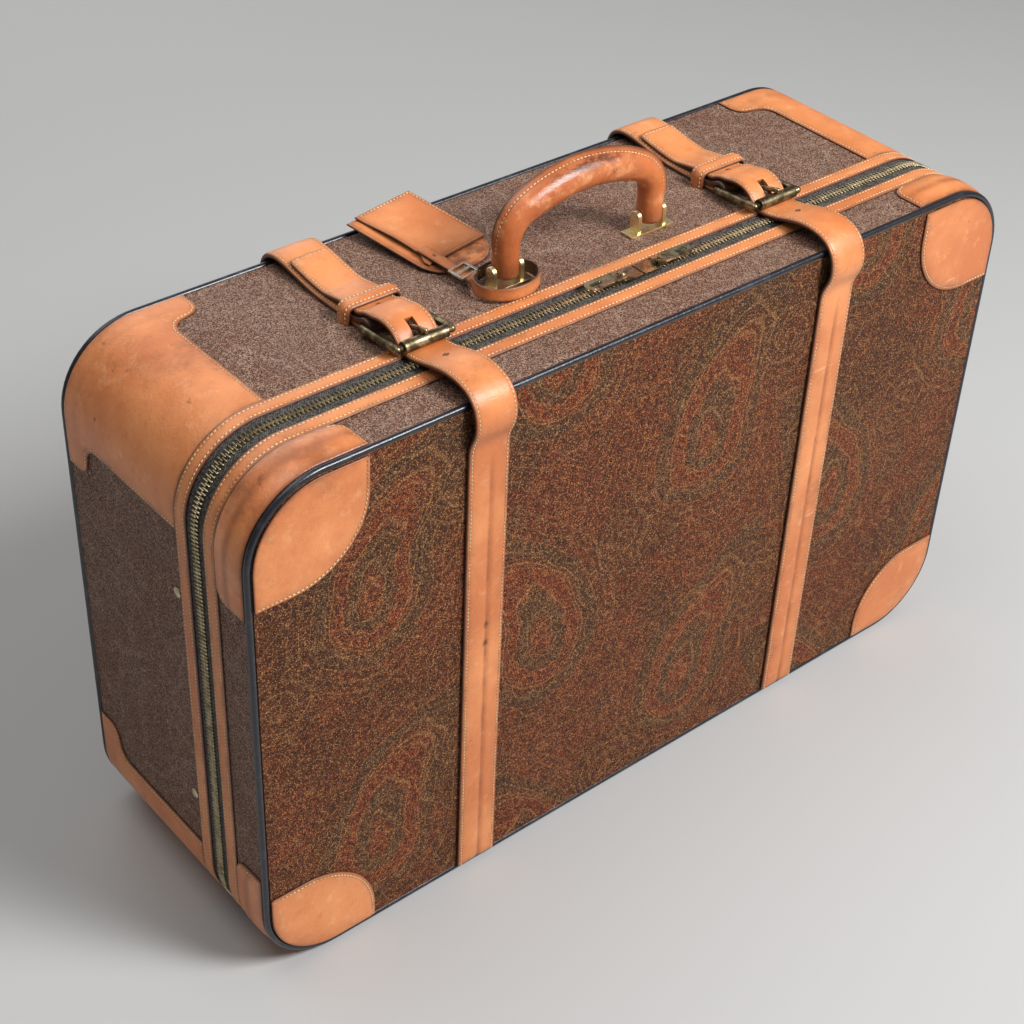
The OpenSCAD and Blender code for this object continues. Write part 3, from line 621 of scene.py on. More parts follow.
def rim_point(s):
    """Point (x, z) and outward direction on the case's outline, a distance s from the top's middle.

    The outline runs straight, turns through a quarter circle at each corner and runs straight again.
    """
    s = np.asarray(s, float)
    far = np.abs(s)
    upper = np.clip((far - RUN_TOP) / CORNER_R, 0, np.pi / 2)
    down = np.clip(far - RUN_TOP - QUARTER, 0, RUN_SIDE)
    lower = np.clip((far - RUN_TOP - QUARTER - RUN_SIDE) / CORNER_R, 0, np.pi / 2)
    back = np.clip(far - RUN_TOP - 2 * QUARTER - RUN_SIDE, 0, RUN_TOP)
    x = np.clip(far, 0, RUN_TOP) + CORNER_R * (np.sin(upper) - 1 + np.cos(lower)) - back
    z = CASE_H - CORNER_R * (1 - np.cos(upper)) - down - CORNER_R * np.sin(lower)
    hand = np.where(s < 0, -1.0, 1.0)
    turn = upper + lower
    return np.stack([hand * x, z], -1), np.stack([hand * np.sin(turn), np.cos(turn)], -1)


def on_rim(s, y, height):
    """Points a height above the outline, at distances s round it and depths y."""
    point, out = rim_point(s)
    spot = point + out * np.asarray(height)[..., None]
    return np.stack([spot[..., 0], np.broadcast_to(y, spot.shape[:-1]), spot[..., 1]], -1)


def rim_out(s):
    """Outward direction of the outline as a direction in space."""
    out = rim_point(s)[1]
    return np.stack([out[..., 0], np.zeros(out.shape[:-1]), out[..., 1]], -1)


# Meshes

PIECE_SHARP = math.radians(50)


def add_object(name, data):
    """A new object at the origin, linked to the scene."""
    thing = bpy.data.objects.new(name, data)
    bpy.context.scene.collection.objects.link(thing)
    return thing


def add_piece(name, points, faces, body, material, marks=None):
    """A mesh from whole arrays of points and faces, on a body, with marks for its material."""
    mesh = bpy.data.meshes.new(name)
    mesh.from_pydata((points * MM).tolist(), [], [face for group in faces for face in group.tolist()])
    for mark, values in (marks or {}).items():
        layer = mesh.attributes.new(mark, "FLOAT", "POINT")
        layer.data.foreach_set("value", values.ravel())
    shape = bmesh.new()
    shape.from_mesh(mesh)
    bmesh.ops.remove_doubles(shape, verts=shape.verts, dist=1e-7)
    bmesh.ops.recalc_face_normals(shape, faces=shape.faces)
    shape.to_mesh(mesh)
    shape.free()
    mesh.shade_smooth()
    mesh.set_sharp_from_angle(angle=PIECE_SHARP)
    mesh.materials.append(material)
    piece = add_object(name, mesh)
    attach(piece, body)
    return piece


def sheet_faces(rows, columns, closed=False, keep=None):
    """Faces of a sheet with two sides: every kept cell on both sides, and a wall along each free edge.

    The second side's points follow the first's. A closed sheet joins its last row to its first.
    """
    index = np.arange(rows * columns).reshape(rows, columns)
    if closed:
        index = np.vstack([index, index[:1]])
    cells = np.ones((len(index) - 1, columns - 1), bool) if keep is None else keep
    corners = np.stack([index[:-1, :-1], index[1:, :-1], index[1:, 1:], index[:-1, 1:]], -1)
    upper = corners[cells]
    lower = upper[:, ::-1] + rows * columns
    beyond = np.pad(cells, 1)
    if closed:
        beyond[0, 1:-1] = cells[-1]
        beyond[-1, 1:-1] = cells[0]
    across = beyond[1:, 1:-1] != beyond[:-1, 1:-1]
    if closed:
        across[-1] = False
    along = beyond[1:-1, 1:] != beyond[1:-1, :-1]
    edges = np.concatenate([
        np.stack([index[:, :-1], index[:, 1:]], -1)[across],
        np.stack([index[:-1], index[1:]], -1)[along],
    ])
    walls = np.concatenate([edges, edges[:, ::-1] + rows * columns], -1)
    return np.concatenate([upper, lower, walls])


def crown(puff, inside):
    """Height of a padded face a distance inside its edge: a parabola that levels out at its reach."""
    return puff * (1 - (1 - np.clip(inside / PUFF_REACH, 0, 1)) ** 2)


def add_sheet(name, middle, out, inside, thick, body, material, puff=0.0, edge=1.5,
              closed=False, keep=None, marks=None, sewn=None):
    """Leather round a grid of middle points: half its thickness to each side, rounded at its edges.

    inside is each point's distance from the nearest free edge, sewn its distance from the nearest edge
    with a seam. puff lifts the face away from the edges, and a shallow groove follows each seam; the
    groove is also marked for painted shade.
    """
    rows, columns = middle.shape[:2]
    near = 1 - np.clip(inside / edge, 0, 1)
    half = thick / 2 * np.sqrt(1 - 0.85 * near**2)
    lift = crown(puff, inside) * np.clip(1 + out[..., 2], 0, 1)
    groove = np.zeros(inside.shape)
    if sewn is not None:
        groove = np.exp(-(((sewn - STITCH_IN) / SEAM_W) ** 2))
    top = middle + out * (half + lift - SEAM_DEPTH * groove)[..., None]
    low = middle - out * half[..., None]
    points = np.concatenate([top.reshape(-1, 3), low.reshape(-1, 3)])
    faces = sheet_faces(rows, columns, closed, keep)
    used, faces = np.unique(faces, return_inverse=True)
    faces = faces.reshape(-1, 4)
    # Points of the second side, which the material paints with shade
    under = np.arange(2 * inside.size) >= inside.size
    # seam marks the stitch groove for painted shade
    drawn = {"rim": np.exp(-inside / 0.7), "worn": np.exp(-inside / 5), "seam": groove}
    drawn.update(marks or {})
    both = {mark: np.tile(values.ravel(), 2)[used] for mark, values in drawn.items()}
    both["under"] = under[used].astype(float)
    return add_piece(name, points[used], [faces], body, material, both)


def spread(low, high, inner=9):
    """Places across a strip: close together near both edges and at their seams, even between them."""
    near = np.array([0.0, 0.25, 0.7, 1.5, STITCH_IN - 0.35, STITCH_IN, STITCH_IN + 0.5])
    start = near[-1] + 0.7
    between = np.linspace(low + start, high - start, inner)
    return np.concatenate([low + near, between, high - near[::-1]])


def tube_faces(rows, count):
    """Numbers of a tube's points, the same moved one place round, and the faces from ring to ring."""
    ring = np.arange(rows * count).reshape(rows, count)
    beside = np.roll(ring, -1, axis=1)
    faces = np.stack([ring[:-1], ring[1:], beside[1:], beside[:-1]], -1).reshape(-1, 4)
    return ring, beside, faces


def bead_shape(length, width, height, power, round_count=6):
    """A bead along the first axis: rings of an ellipse.

    The square of a ring's size is 1 - |t|^power, where t runs from -1 to 1 between two poles.
    """
    t = np.array([-0.82, -0.3, 0.3, 0.82])
    size = np.sqrt(1 - np.abs(t) ** power)[:, None]
    turn = np.arange(round_count) * 2 * np.pi / round_count
    rings = np.stack([
        np.broadcast_to(t[:, None] * length / 2, (len(t), round_count)),
        size * np.cos(turn) * width / 2,
        size * np.sin(turn) * height,
    ], -1).reshape(-1, 3)
    poles = np.array([[-length / 2, 0, 0], [length / 2, 0, 0]])
    ring, beside, quads = tube_faces(len(t), round_count)
    start, end = len(rings), len(rings) + 1
    caps = np.concatenate([
        np.stack([np.full(round_count, start), ring[0], beside[0]], -1),
        np.stack([np.full(round_count, end), beside[-1], ring[-1]], -1),
    ])
    return np.concatenate([rings, poles]), quads, caps


def repeat(shape, centres, along, up):
    """Copies of a shape, one at each centre, its first axis along and its third axis up."""
    points, quads, caps = shape
    across = np.cross(up, along)
    axes = np.stack([along, across, up], 1)
    placed = centres[:, None] + np.einsum("pk,nkc->npc", points, axes)
    step = (np.arange(len(centres)) * len(points))[:, None, None]
    return placed.reshape(-1, 3), (quads + step).reshape(-1, 4), (caps + step).reshape(-1, 3)


STITCH = bead_shape(STITCH_L, STITCH_W, STITCH_H, 4)


class Seams:
    """Rows of stitches gathered for one body, sewn as one piece."""

    def __init__(self):
        self.rows = []

    def row(self, path, up):
        """Stitches an even pitch apart along a path, each on the surface whose direction is up."""
        far = travelled(path)
        count = int(far[-1] / STITCH_PITCH)
        stops = (np.arange(count) + 0.5) * far[-1] / count
        stops = stops[np.interp(stops, far, path[:, 2]) > 2 * STITCH_H]
        at, ahead, rise = (
            np.stack([np.interp(stops, far, values[:, k]) for k in range(3)], -1)
            for values in (path, np.gradient(path, far, axis=0), up)
        )
        ahead /= np.linalg.norm(ahead, axis=1, keepdims=True)
        rise -= ahead * np.sum(rise * ahead, axis=1, keepdims=True)
        rise /= np.linalg.norm(rise, axis=1, keepdims=True)
        self.rows.append(repeat(STITCH, at, ahead, rise))

    def sew(self, name, body):
        """One piece of all the rows, each row's faces counted on from the rows before it."""
        start = np.cumsum([0] + [len(points) for points, _, _ in self.rows[:-1]])
        points = np.concatenate([row[0] for row in self.rows])
        quads = np.concatenate([row[1] + first for row, first in zip(self.rows, start)])
        caps = np.concatenate([row[2] + first for row, first in zip(self.rows, start)])
        return add_piece(name, points, [quads, caps], body, thread)


case_seams = Seams()
lid_seams = Seams()
lid_strap_seams = Seams()


# Trim beside the zip

def trim(name, node, depth, gap_edge, body, seams):
    """A band of leather right round the case; its edge by the zip is painted dark red."""
    s = np.linspace(-ROUND_TRIP / 2, ROUND_TRIP / 2, 480, endpoint=False)
    y = spread(*depth, inner=5)
    s_grid, y_grid = np.meshgrid(s, y, indexing="ij")
    middle = on_rim(s_grid, y_grid, np.full(s_grid.shape, -LEATHER_T / 2))
    inside = np.minimum(y_grid - depth[0], depth[1] - y_grid)
    paint = np.exp(-np.abs(y_grid - gap_edge) / 0.7)
    piece = add_sheet(name, middle, rim_out(s_grid), inside, LEATHER_T, body, tan, puff=0.35,
                      closed=True, marks={"paint": paint}, sewn=inside)
    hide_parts(node)
    path_s = np.linspace(-ROUND_TRIP / 2, ROUND_TRIP / 2, 900)
    for row_y in (depth[0] + STITCH_IN, depth[1] - STITCH_IN):
        seams.row(on_rim(path_s, row_y, np.full(path_s.shape, -0.05)), rim_out(path_s))


trim("body_trim_leather", "body_trim", BODY_TRIM, BODY_TRIM[0], "case", case_seams)
trim("lid_trim_leather", "lid_trim", LID_TRIM, LID_TRIM[1], "lid", lid_seams)


# Corner patches on the side walls

STREAK_IN = 15.0


def ogee_reach(v):
    """Reach of a body patch at v from the back: wide, a round out, a round in, then straight."""
    out = np.sqrt(np.clip(OGEE_R**2 - np.clip(v - OGEE_R, 0, OGEE_R) ** 2, 0, None))
    back = np.sqrt(np.clip(OGEE_R**2 - np.clip(3 * OGEE_R - v, 0, OGEE_R) ** 2, 0, None))
    return PATCH_REACH + OGEE_R + np.where(v < 2 * OGEE_R, out, -back)


def round_reach(v):
    """Reach of a lid patch a distance v from the trim: a quarter circle, then straight."""
    near = np.clip(BAND_ROUND_R - v, 0, BAND_ROUND_R)
    return BAND_REACH - BAND_ROUND_R + np.sqrt(BAND_ROUND_R**2 - near**2)


def corner_middle(level):
    """Distance of a corner's middle from the middle of the top, round the outline."""
    return RUN_TOP + QUARTER / 2 + (0 if level == "top" else QUARTER + RUN_SIDE)


def side_patch(node, side, level, y_end, depth, reach, body, finish, puff, seams, stain):
    """Leather bent round one corner, as far along both walls as its reach at each depth.

    Lines of the grid keep a set distance from both ends. stain is how dark the streak by the piping is.
    """
    v = spread(0, depth, inner=max(14, int(depth / 3)))
    half = QUARTER / 2 + reach(v) - CORNER_R
    near = spread(0, 1)[:7, None]
    inner = np.linspace(-1, 1, 44)[:, None] * (half - near[-1] - 1)
    across = np.concatenate([near - half, inner, (half - near)[::-1]])
    v_grid = np.broadcast_to(v, across.shape)
    s = SIDES[side] * (corner_middle(level) + across)
    middle = on_rim(s, y_end - v_grid, np.full(s.shape, -LEATHER_T / 2))
    row_v = np.linspace(0, depth, 240)
    edge = np.stack([QUARTER / 2 + reach(row_v) - CORNER_R, row_v], -1)
    spots = np.stack([np.abs(across), v_grid], -1)
    to_end = np.min(np.linalg.norm(spots[:, :, None] - edge, axis=-1), axis=-1)
    inside = np.minimum(np.minimum(v_grid, depth - v_grid), to_end)
    y_grid = y_end - v_grid
    from_piping = np.minimum(np.abs(y_grid - LID_FRONT_EDGE), np.abs(y_grid - BODY_BACK_EDGE))
    streak = np.exp(-(((from_piping - STREAK_IN) / 3.5) ** 2)) + 0.5 * np.exp(-from_piping / 2)
    piece = add_sheet(f"{node}_leather", middle, rim_out(s), inside, LEATHER_T, body, finish,
                      puff=puff, sewn=to_end, marks={"streak": stain * streak})
    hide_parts(node)
    for end in (-1, 1):
        row = edge + left_of(edge) * STITCH_IN
        row = row[(row[:, 1] > 1.5) & (row[:, 1] < depth - 0.5)]
        row_s = SIDES[side] * (corner_middle(level) + end * row[:, 0])
        height = np.full(row_s.shape, crown(puff, STITCH_IN) - SEAM_DEPTH + 0.1)
        seams.row(on_rim(row_s, y_end - row[:, 1], height), rim_out(row_s))


for level in LEVELS:
    for side in SIDES:
        side_patch(
            f"body_corner_{level}_{side}", side, level, BODY_BACK_EDGE, BODY_BACK_EDGE - BODY_TRIM[1],
            ogee_reach, "case", tan, puff=0.5, seams=case_seams, stain=0.25)
        side_patch(
            f"lid_corner_{level}_{side}", side, level, LID_TRIM[0], LID_TRIM[0] - LID_FRONT_EDGE,
            round_reach, "lid", lid_tan, puff=2.4, seams=lid_seams, stain=0.8)


# Corner patches on the front

def front_patch(side, level):
    """Leather on a corner of the front: rings drawn in from its edge towards its middle.

    The edge follows the case's rounded corner outside and a wide quarter circle inside.
    """
    high = FACE_H[level]
    inner_edge = chain(
        [[FACE_W, PIPING_SEAT]],
        arc((FACE_W - FACE_R, high - FACE_R), FACE_R, 0, 90, 40),
        [[PIPING_SEAT, high]],
    )
    edge = chain(arc((CORNER_R, CORNER_R), CORNER_R - PIPING_SEAT, 180, 270, 30), inner_edge)
    edge = evenly(np.vstack([edge, edge[:1]]), 2.5)[:-1]
    centre = np.array([FACE_W, high]) / 2
    reach = np.linalg.norm(edge - centre, axis=1)
    drawn_in = np.concatenate([spread(0, 1)[:7], [4.5, 8, 13, 20, 28, 100]])
    share = np.clip(1 - drawn_in / reach[:, None], 0, 1)
    flat = centre + (edge - centre)[:, None] * share[..., None]

    def placed(spots, lift):
        """Points on the front at distances from the case's end and from its top or bottom."""
        x = SIDES[side] * (CASE_W / 2 - spots[..., 0])
        z = CASE_H - spots[..., 1] if level == "top" else spots[..., 1]
        return np.stack([x, np.full(x.shape, FRONT_Y - lift), z], -1)

    out = np.broadcast_to([0.0, -1.0, 0.0], (*flat.shape[:2], 3))
    inside = reach[:, None] * (1 - share)
    name = f"front_corner_{level}_{side}"
    to_row = np.linalg.norm(flat[:, :, None] - evenly(inner_edge, 1.5), axis=-1).min(axis=-1)
    piece = add_sheet(f"{name}_leather", placed(flat, LEATHER_T / 2), out, inside, LEATHER_T, "lid",
                      tan, puff=0.5, closed=True, sewn=to_row)
    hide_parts(name)
    row = evenly(chain(
        [[FACE_W - STITCH_IN, PIPING_SEAT + 1]],
        arc((FACE_W - FACE_R, high - FACE_R), FACE_R - STITCH_IN, 0, 90, 60),
        [[PIPING_SEAT + 1, high - STITCH_IN]],
    ), 1.0)
    lid_seams.row(placed(row, LEATHER_T + 0.05), np.broadcast_to([0.0, -1.0, 0.0], (len(row), 3)))


for level in LEVELS:
    for side in SIDES:
        front_patch(side, level)


# Straps and belts

def upright(flat):
    """Directions in depth and height as directions in space."""
    return np.stack([np.zeros(len(flat)), flat[:, 0], flat[:, 1]], -1)


def strip_grid(path, x, half, places, end_r):
    """Grid of a strap at a place x that follows a path in depth and height, with a rounded last end.

    Returns its middle points, its outward directions and each point's distance from the nearest edge.
    """
    far = travelled(path)
    short = np.clip(end_r - (far[-1] - far), 0, end_r)
    wide = half - end_r + np.sqrt(end_r**2 - short**2)
    across = places / half * wide[:, None]
    middle = np.stack([
        x + across,
        np.broadcast_to(path[:, :1], across.shape),
        np.broadcast_to(path[:, 1:], across.shape),
    ], -1)
    out = upright(left_of(path))
    inside = np.minimum(wide[:, None] - np.abs(across), np.minimum(far, far[-1] - far)[:, None])
    return middle, np.broadcast_to(out[:, None], middle.shape), inside


def sew_edges(path, out, x, half, thick, seams):
    """A row of stitches along each edge of a strap, on the side that out points to."""
    for edge in (-1, 1):
        row = np.stack([np.full(len(path), x + edge * (half - STITCH_IN)), *path.T], -1)
        seams.row(row + out * (thick / 2), out)


HUMP_X = BACK_Y + LOOP_OUT - BELT_T / 2
BOW_Y = FRONT_Y - LOOP_OUT + STRAP_T / 2
BOW_TOP = np.array([FRONT_Y + 24, CASE_H + 10.5])
LOW_Z = CASE_H + CLEAR + STRAP_T / 2
FOLD_TOP = BAR_Z + FOLD_R
PEAK = np.array([BUCKLE_Y - 15, FOLD_TOP + STRAP_OVER + 2.4])
belt_hump = curve([
    [HUMP_X, CANVAS_Z - 16], [HUMP_X, CANVAS_Z + 2.4 * LOOP_OUT],
    [(HUMP_X + HUMP_Y) / 2, CANVAS_Z + BELT_T / 2], [HUMP_Y, CANVAS_Z + BELT_T / 2],
], 40)
belt_end = chain(
    curve([
        [BUCKLE_Y, FOLD_TOP], [BUCKLE_Y + 6, FOLD_TOP],
        [BUCKLE_Y + 7, FOLD_Z], [KEEPER_Y[0] - 1, FOLD_Z],
    ]),
    [[FOLD_END, FOLD_Z]],
)
belt_path = chain(
    [[BACK_Y + BELT_T / 2, 7.4]],
    curve([
        [BACK_Y + BELT_T / 2, CASE_H - LOOP_DROP - 6],
        [BACK_Y + BELT_T / 2, CASE_H - LOOP_DROP + 4],
        [HUMP_X, CANVAS_Z - 26], [HUMP_X, CANVAS_Z - 16],
    ]),
    belt_hump,
    arc((BUCKLE_Y, BAR_Z), FOLD_R, 270, 90),
    belt_end,
)
over_belt = belt_end + left_of(belt_end) * STRAP_OVER
over_hump = belt_hump[::-1] + left_of(belt_hump[::-1]) * STRAP_OVER
over_hump = over_hump[(over_hump[:, 0] > FOLD_END + 8) & (over_hump[:, 0] < STRAP_END)]
strap_path = chain(
    [[FRONT_Y - STRAP_T / 2, PIPING_SEAT]],
    [[FRONT_Y - STRAP_T / 2, CASE_H - LOOP_DROP]],
    curve([
        [FRONT_Y - STRAP_T / 2, CASE_H - LOOP_DROP + 2],
        [FRONT_Y - STRAP_T / 2, CASE_H - LOOP_DROP + 12],
        [BOW_Y, CASE_H - 24], [BOW_Y, CASE_H - 14],
    ]),
    curve([[BOW_Y, CASE_H - 14], [BOW_Y, CASE_H + 6], BOW_TOP + [-18, 1.5], BOW_TOP]),
    curve([BOW_TOP, BOW_TOP + [18, -1.5], [ROLLER_Y - 17, LOW_Z], [ROLLER_Y, LOW_Z]]),
    curve([[ROLLER_Y, LOW_Z], [ROLLER_Y + 10, LOW_Z], [ROLLER_Y + 9, PEAK[1]], PEAK]),
    curve([
        PEAK, PEAK + [8, 0],
        [BUCKLE_Y - 6, FOLD_TOP + STRAP_OVER], [BUCKLE_Y, FOLD_TOP + STRAP_OVER],
    ], 8),
    over_belt,
    over_hump,
)
belt_path = eased(evenly(belt_path, 1.6), 3)
strap_path = eased(evenly(strap_path, 1.6), 3)
SLOT_LINES = np.array([-TONGUE_SLOT / 2, TONGUE_SLOT / 2])
SPARE_HOLES = (FRONT_Y + 44, KEEPER_Y[0] - 5)
HOLE_R = 1.9
CREASE_X = 1.5
CREASE_W = 1.5
CREASE_DEPTH = 1.1
NAIL_MARKS = {"left": (238.0, 222.0), "right": (258.0,)}


def places_with_slot(half):
    """Places across a strap, with a line at each side of the tongue's slot."""
    places = spread(-half, half, inner=15)
    places = places[np.abs(np.abs(places) - TONGUE_SLOT / 2) > 0.8]
    return np.sort(np.concatenate([places, SLOT_LINES]))


def cells_outside(middle, x, slot_y):
    """Cells that lie outside the tongue's slot."""
    centre = (middle[:-1, :-1] + middle[1:, 1:]) / 2
    in_slot = (np.abs(centre[..., 0] - x) < TONGUE_SLOT / 2) & (centre[..., 1] > slot_y[0])
    return ~(in_slot & (centre[..., 1] < slot_y[1]) & (centre[..., 2] > CANVAS_Z - 1))


def front_strap(side):
    """A strap sewn up the front that bows over the top edge, passes the buckle and ends on the belt.

    A crease sinks along its middle where it is sewn and is darkened with painted shade, and the spare
    holes are painted as dark round marks for the shade in them.
    """
    x = SIDES[side] * BELT_X
    half = STRAP_W / 2
    places = places_with_slot(half)
    middle, out, inside = strip_grid(strap_path, x, half, places, 6.0)
    depth, across = middle[..., 1], middle[..., 0] - x
    sewn = np.clip((CASE_H - LOOP_DROP - middle[..., 2]) / 30, 0, 1) * (depth < FRONT_Y)
    crease = np.exp(-((across - CREASE_X) / CREASE_W) ** 2) * sewn
    middle = middle - out * (CREASE_DEPTH * crease)[..., None]
    height = middle[..., 2]
    crease = crease * (0.7 + 0.3 * np.sin(height / 19) * np.sin(height / 7.3))
    hole = np.zeros(depth.shape)
    on_top = height > CASE_H
    for hole_y in SPARE_HOLES:
        far = np.hypot(across, depth - hole_y)
        hole = np.maximum(hole, np.where(on_top, np.clip((HOLE_R + 0.4 - far) / 0.8, 0, 1), 0))
    for mark_z in NAIL_MARKS[side]:
        hole = np.maximum(hole, 0.4 * crease * np.clip(1.6 - np.abs(height - mark_z) / 2.5, 0, 1))
    keep = cells_outside(middle, x, (ROLLER_Y + ROLLER_R, ROLLER_Y + ROLLER_R + SLOT_L))
    # The crease is darkened with painted shade; the spare holes are dark round marks of painted shade
    marks = {"stain": crease * 0.3 + hole * 5, "streak": crease}
    piece = add_sheet(f"strap_{side}_leather", middle, out, inside, STRAP_T, "lid", tan, puff=0.5,
                      keep=keep, marks=marks, sewn=inside)
    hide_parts(f"front_strap_{side}", f"strap_tail_{side}")
    far = travelled(strap_path)
    on = far < far[-1] - STITCH_IN
    up = upright(left_of(strap_path)[on])
    sew_edges(strap_path[on], up, x, half, STRAP_T, lid_strap_seams)
    ends = np.linspace(-half + STITCH_IN + 2, half - STITCH_IN - 2, 20)
    tip = strap_path[on][-1]
    row = np.stack([x + ends, np.full(20, tip[0]), np.full(20, tip[1])], -1)
    lid_strap_seams.row(row + up[-1] * (STRAP_T / 2), np.broadcast_to(up[-1], row.shape))


def rear_belt(side):
    """A belt sewn up the back that stands out over the top edge and folds round the buckle's bar."""
    x = SIDES[side] * BELT_X
    half = BELT_W / 2
    middle, out, inside = strip_grid(belt_path, x, half, places_with_slot(half), 3.0)
    keep = cells_outside(middle, x, (BUCKLE_Y - FOLD_R - BELT_T, BUCKLE_Y + 6))
    piece = add_sheet(f"belt_{side}_leather", middle, -out, inside, BELT_T, "case", tan, puff=0.4,
                      keep=keep, sewn=inside)
    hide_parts(f"rear_belt_{side}")
    on = np.arange(len(belt_path)) < np.argmin(belt_path[:, 0]) - 6
    sew_edges(belt_path[on], upright(-left_of(belt_path)[on]), x, half, BELT_T, case_seams)


def keeper(side):
    """A fat leather loop over the belt and the strap's end: a strip bent up, over and down."""
    x = SIDES[side] * BELT_X
    half = BELT_W / 2 + CLEAR + KEEPER_T / 2
    top = FOLD_Z + BELT_T / 2 + STRAP_T + 2 * CLEAR + KEEPER_T / 2
    bend_x, bend_z = half - KEEPER_BEND_R, top - KEEPER_BEND_R
    path = evenly(chain(
        [[-half, CANVAS_Z + 0.1]],
        arc((-bend_x, bend_z), KEEPER_BEND_R, 180, 90),
        arc((bend_x, bend_z), KEEPER_BEND_R, 90, 0),
        [[half, CANVAS_Z + 0.1]],
    ), 1.0)
    turn = left_of(path)
    y = spread(*KEEPER_Y, inner=5)
    out = np.stack([turn[:, 0], np.zeros(len(path)), turn[:, 1]], -1)
    middle = np.stack([
        np.broadcast_to(x + path[:, :1], (len(path), len(y))),
        np.broadcast_to(y, (len(path), len(y))),
        np.broadcast_to(path[:, 1:], (len(path), len(y))),
    ], -1)
    inside = np.broadcast_to(np.minimum(y - KEEPER_Y[0], KEEPER_Y[1] - y), middle.shape[:2])
    out_grid = np.broadcast_to(out[:, None], middle.shape)
    piece = add_sheet(f"keeper_{side}_leather", middle, out_grid, inside, KEEPER_T, "case", tan,
                      puff=KEEPER_PUFF, edge=2.0, sewn=inside)
    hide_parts(f"keeper_{side}")
    for row_y in (KEEPER_Y[0] + STITCH_IN, KEEPER_Y[1] - STITCH_IN):
        row = np.stack([x + path[:, 0], np.full(len(path), row_y), path[:, 1]], -1)
        lift = KEEPER_T / 2 + crown(KEEPER_PUFF, STITCH_IN) - 0.2
        case_seams.row(row + out * lift, out)


for side in SIDES:
    front_strap(side)
    rear_belt(side)
    keeper(side)


# Handle

GRIP_FOOT_R = 9.6
GRIP_SWELL = 2.7
SEAM_RIDGE = 1.6
SEAM_STOPS = [0.0, 0.5, 0.7, 0.85, 1.0]
SEAM_TWIST = np.radians([-4.0, -8.0, -30.0, -62.0, -76.0])


def handle_grip():
    """A padded grip: circles carried along an arch, fuller in the middle, with a raised seam outside.

    The circle's radius grows by a smooth step from each foot. A narrow hump in it makes the seam's
    ridge and a groove beside it holds the stitches; both wander slowly round the grip.
    """
    bend_x = FOOT_X - GRIP_BEND_R
    crown_z = GRIP_Z - CROWN_R
    crown_turn = math.degrees(math.asin(bend_x / (CROWN_R - GRIP_BEND_R)))
    bend_z = crown_z + (CROWN_R - GRIP_BEND_R) * math.cos(math.radians(crown_turn))
    foot_z = PIVOT_Z - 7.5
    path = eased(evenly(chain(
        [[-FOOT_X, foot_z]],
        arc((-bend_x, bend_z), GRIP_BEND_R, 180, 90 + crown_turn, 30),
        arc((0, crown_z), CROWN_R, 90 + crown_turn, 90 - crown_turn, 40),
        arc((bend_x, bend_z), GRIP_BEND_R, 90 - crown_turn, 0, 30),
        [[FOOT_X, foot_z]],
    ), 1.5), 4)
    far = travelled(path)
    end = np.minimum(far, far[-1] - far)
    rise = np.clip((end - 16) / 62, 0, 1)
    radius = GRIP_FOOT_R + GRIP_SWELL * rise**2 * (3 - 2 * rise)
    radius = radius * np.sqrt(1 - np.clip(1 - end / 5, 0, 1) ** 2)
    turn = np.linspace(-np.pi, np.pi, 72, endpoint=False)
    seam = eased(np.interp(far / far[-1], SEAM_STOPS, SEAM_TWIST), 60)[:, None]
    fade = np.clip((end - 19) / 14, 0, 1)[:, None]
    ridge = np.exp(-(((turn - seam - 0.42) / 0.2) ** 2)) * fade
    groove = np.exp(-(((turn - seam) / 0.08) ** 2)) * fade
    size = radius[:, None] + SEAM_RIDGE * ridge - 0.4 * groove
    out = left_of(path)
    out = np.stack([out[:, 0], np.zeros(len(path)), out[:, 1]], -1)
    back = np.array([0.0, 1.0, 0.0])
    spokes = np.cos(turn)[:, None] * out[:, None] + np.sin(turn)[:, None] * back
    spine = np.stack([path[:, 0], np.full(len(path), HANDLE_Y), path[:, 1]], -1)
    points = spine[:, None] + spokes * size[..., None]
    faces = tube_faces(*points.shape[:2])[2]
    middle = np.exp(-(((far - far[-1] / 2) / 30) ** 2))[:, None]
    rubbed = middle * np.exp(-(((turn + 0.62) / 0.4) ** 2)) * 1.5
    foot = np.exp(-(((end - 6) / 9) ** 2))[:, None] * 0.5 + 0 * ridge
    # seam marks the stitch groove for painted shade; stain marks real rubbed scuffs
    marks = {"rim": np.maximum(ridge * 1.1, foot), "seam": groove, "stain": rubbed}
    piece = add_piece("handle_grip_leather", points.reshape(-1, 3), [faces], "handle", grip_tan,
                      marks)
    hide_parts("handle_grip")
    seams = Seams()
    on = end > 20
    spoke = np.cos(seam[on]) * out[on] + np.sin(seam[on]) * back
    seams.row(spine[on] + spoke * (radius[on] - 0.3)[:, None], spoke)
    seams.sew("handle_stitches", "handle")


handle_grip()


# Tag

def on_tag(spots, lift):
    """Points on the tag's own plane, tilted up towards the back and turned a little."""
    x, y = spots[..., 0], spots[..., 1]
    z = np.broadcast_to(lift, x.shape)
    back = y * math.cos(TAG_TILT) - z * math.sin(TAG_TILT)
    high = y * math.sin(TAG_TILT) + z * math.cos(TAG_TILT)
    return TAG_AT + np.stack([
        x * math.cos(TAG_TURN) - back * math.sin(TAG_TURN),
        x * math.sin(TAG_TURN) + back * math.cos(TAG_TURN),
        high,
    ], -1)


TAG_UP = on_tag(np.zeros(2), 1.0) - on_tag(np.zeros(2), 0.0)
TAG_CURL = 0.28
TAG_CURL_L = 66.0


def tag_half(y):
    """Half width of the tag: a round near end, then straight."""
    near = np.clip(TAG_NEAR_R - y, 0, TAG_NEAR_R)
    return TAG_W / 2 - TAG_NEAR_R + np.sqrt(TAG_NEAR_R**2 - near**2)


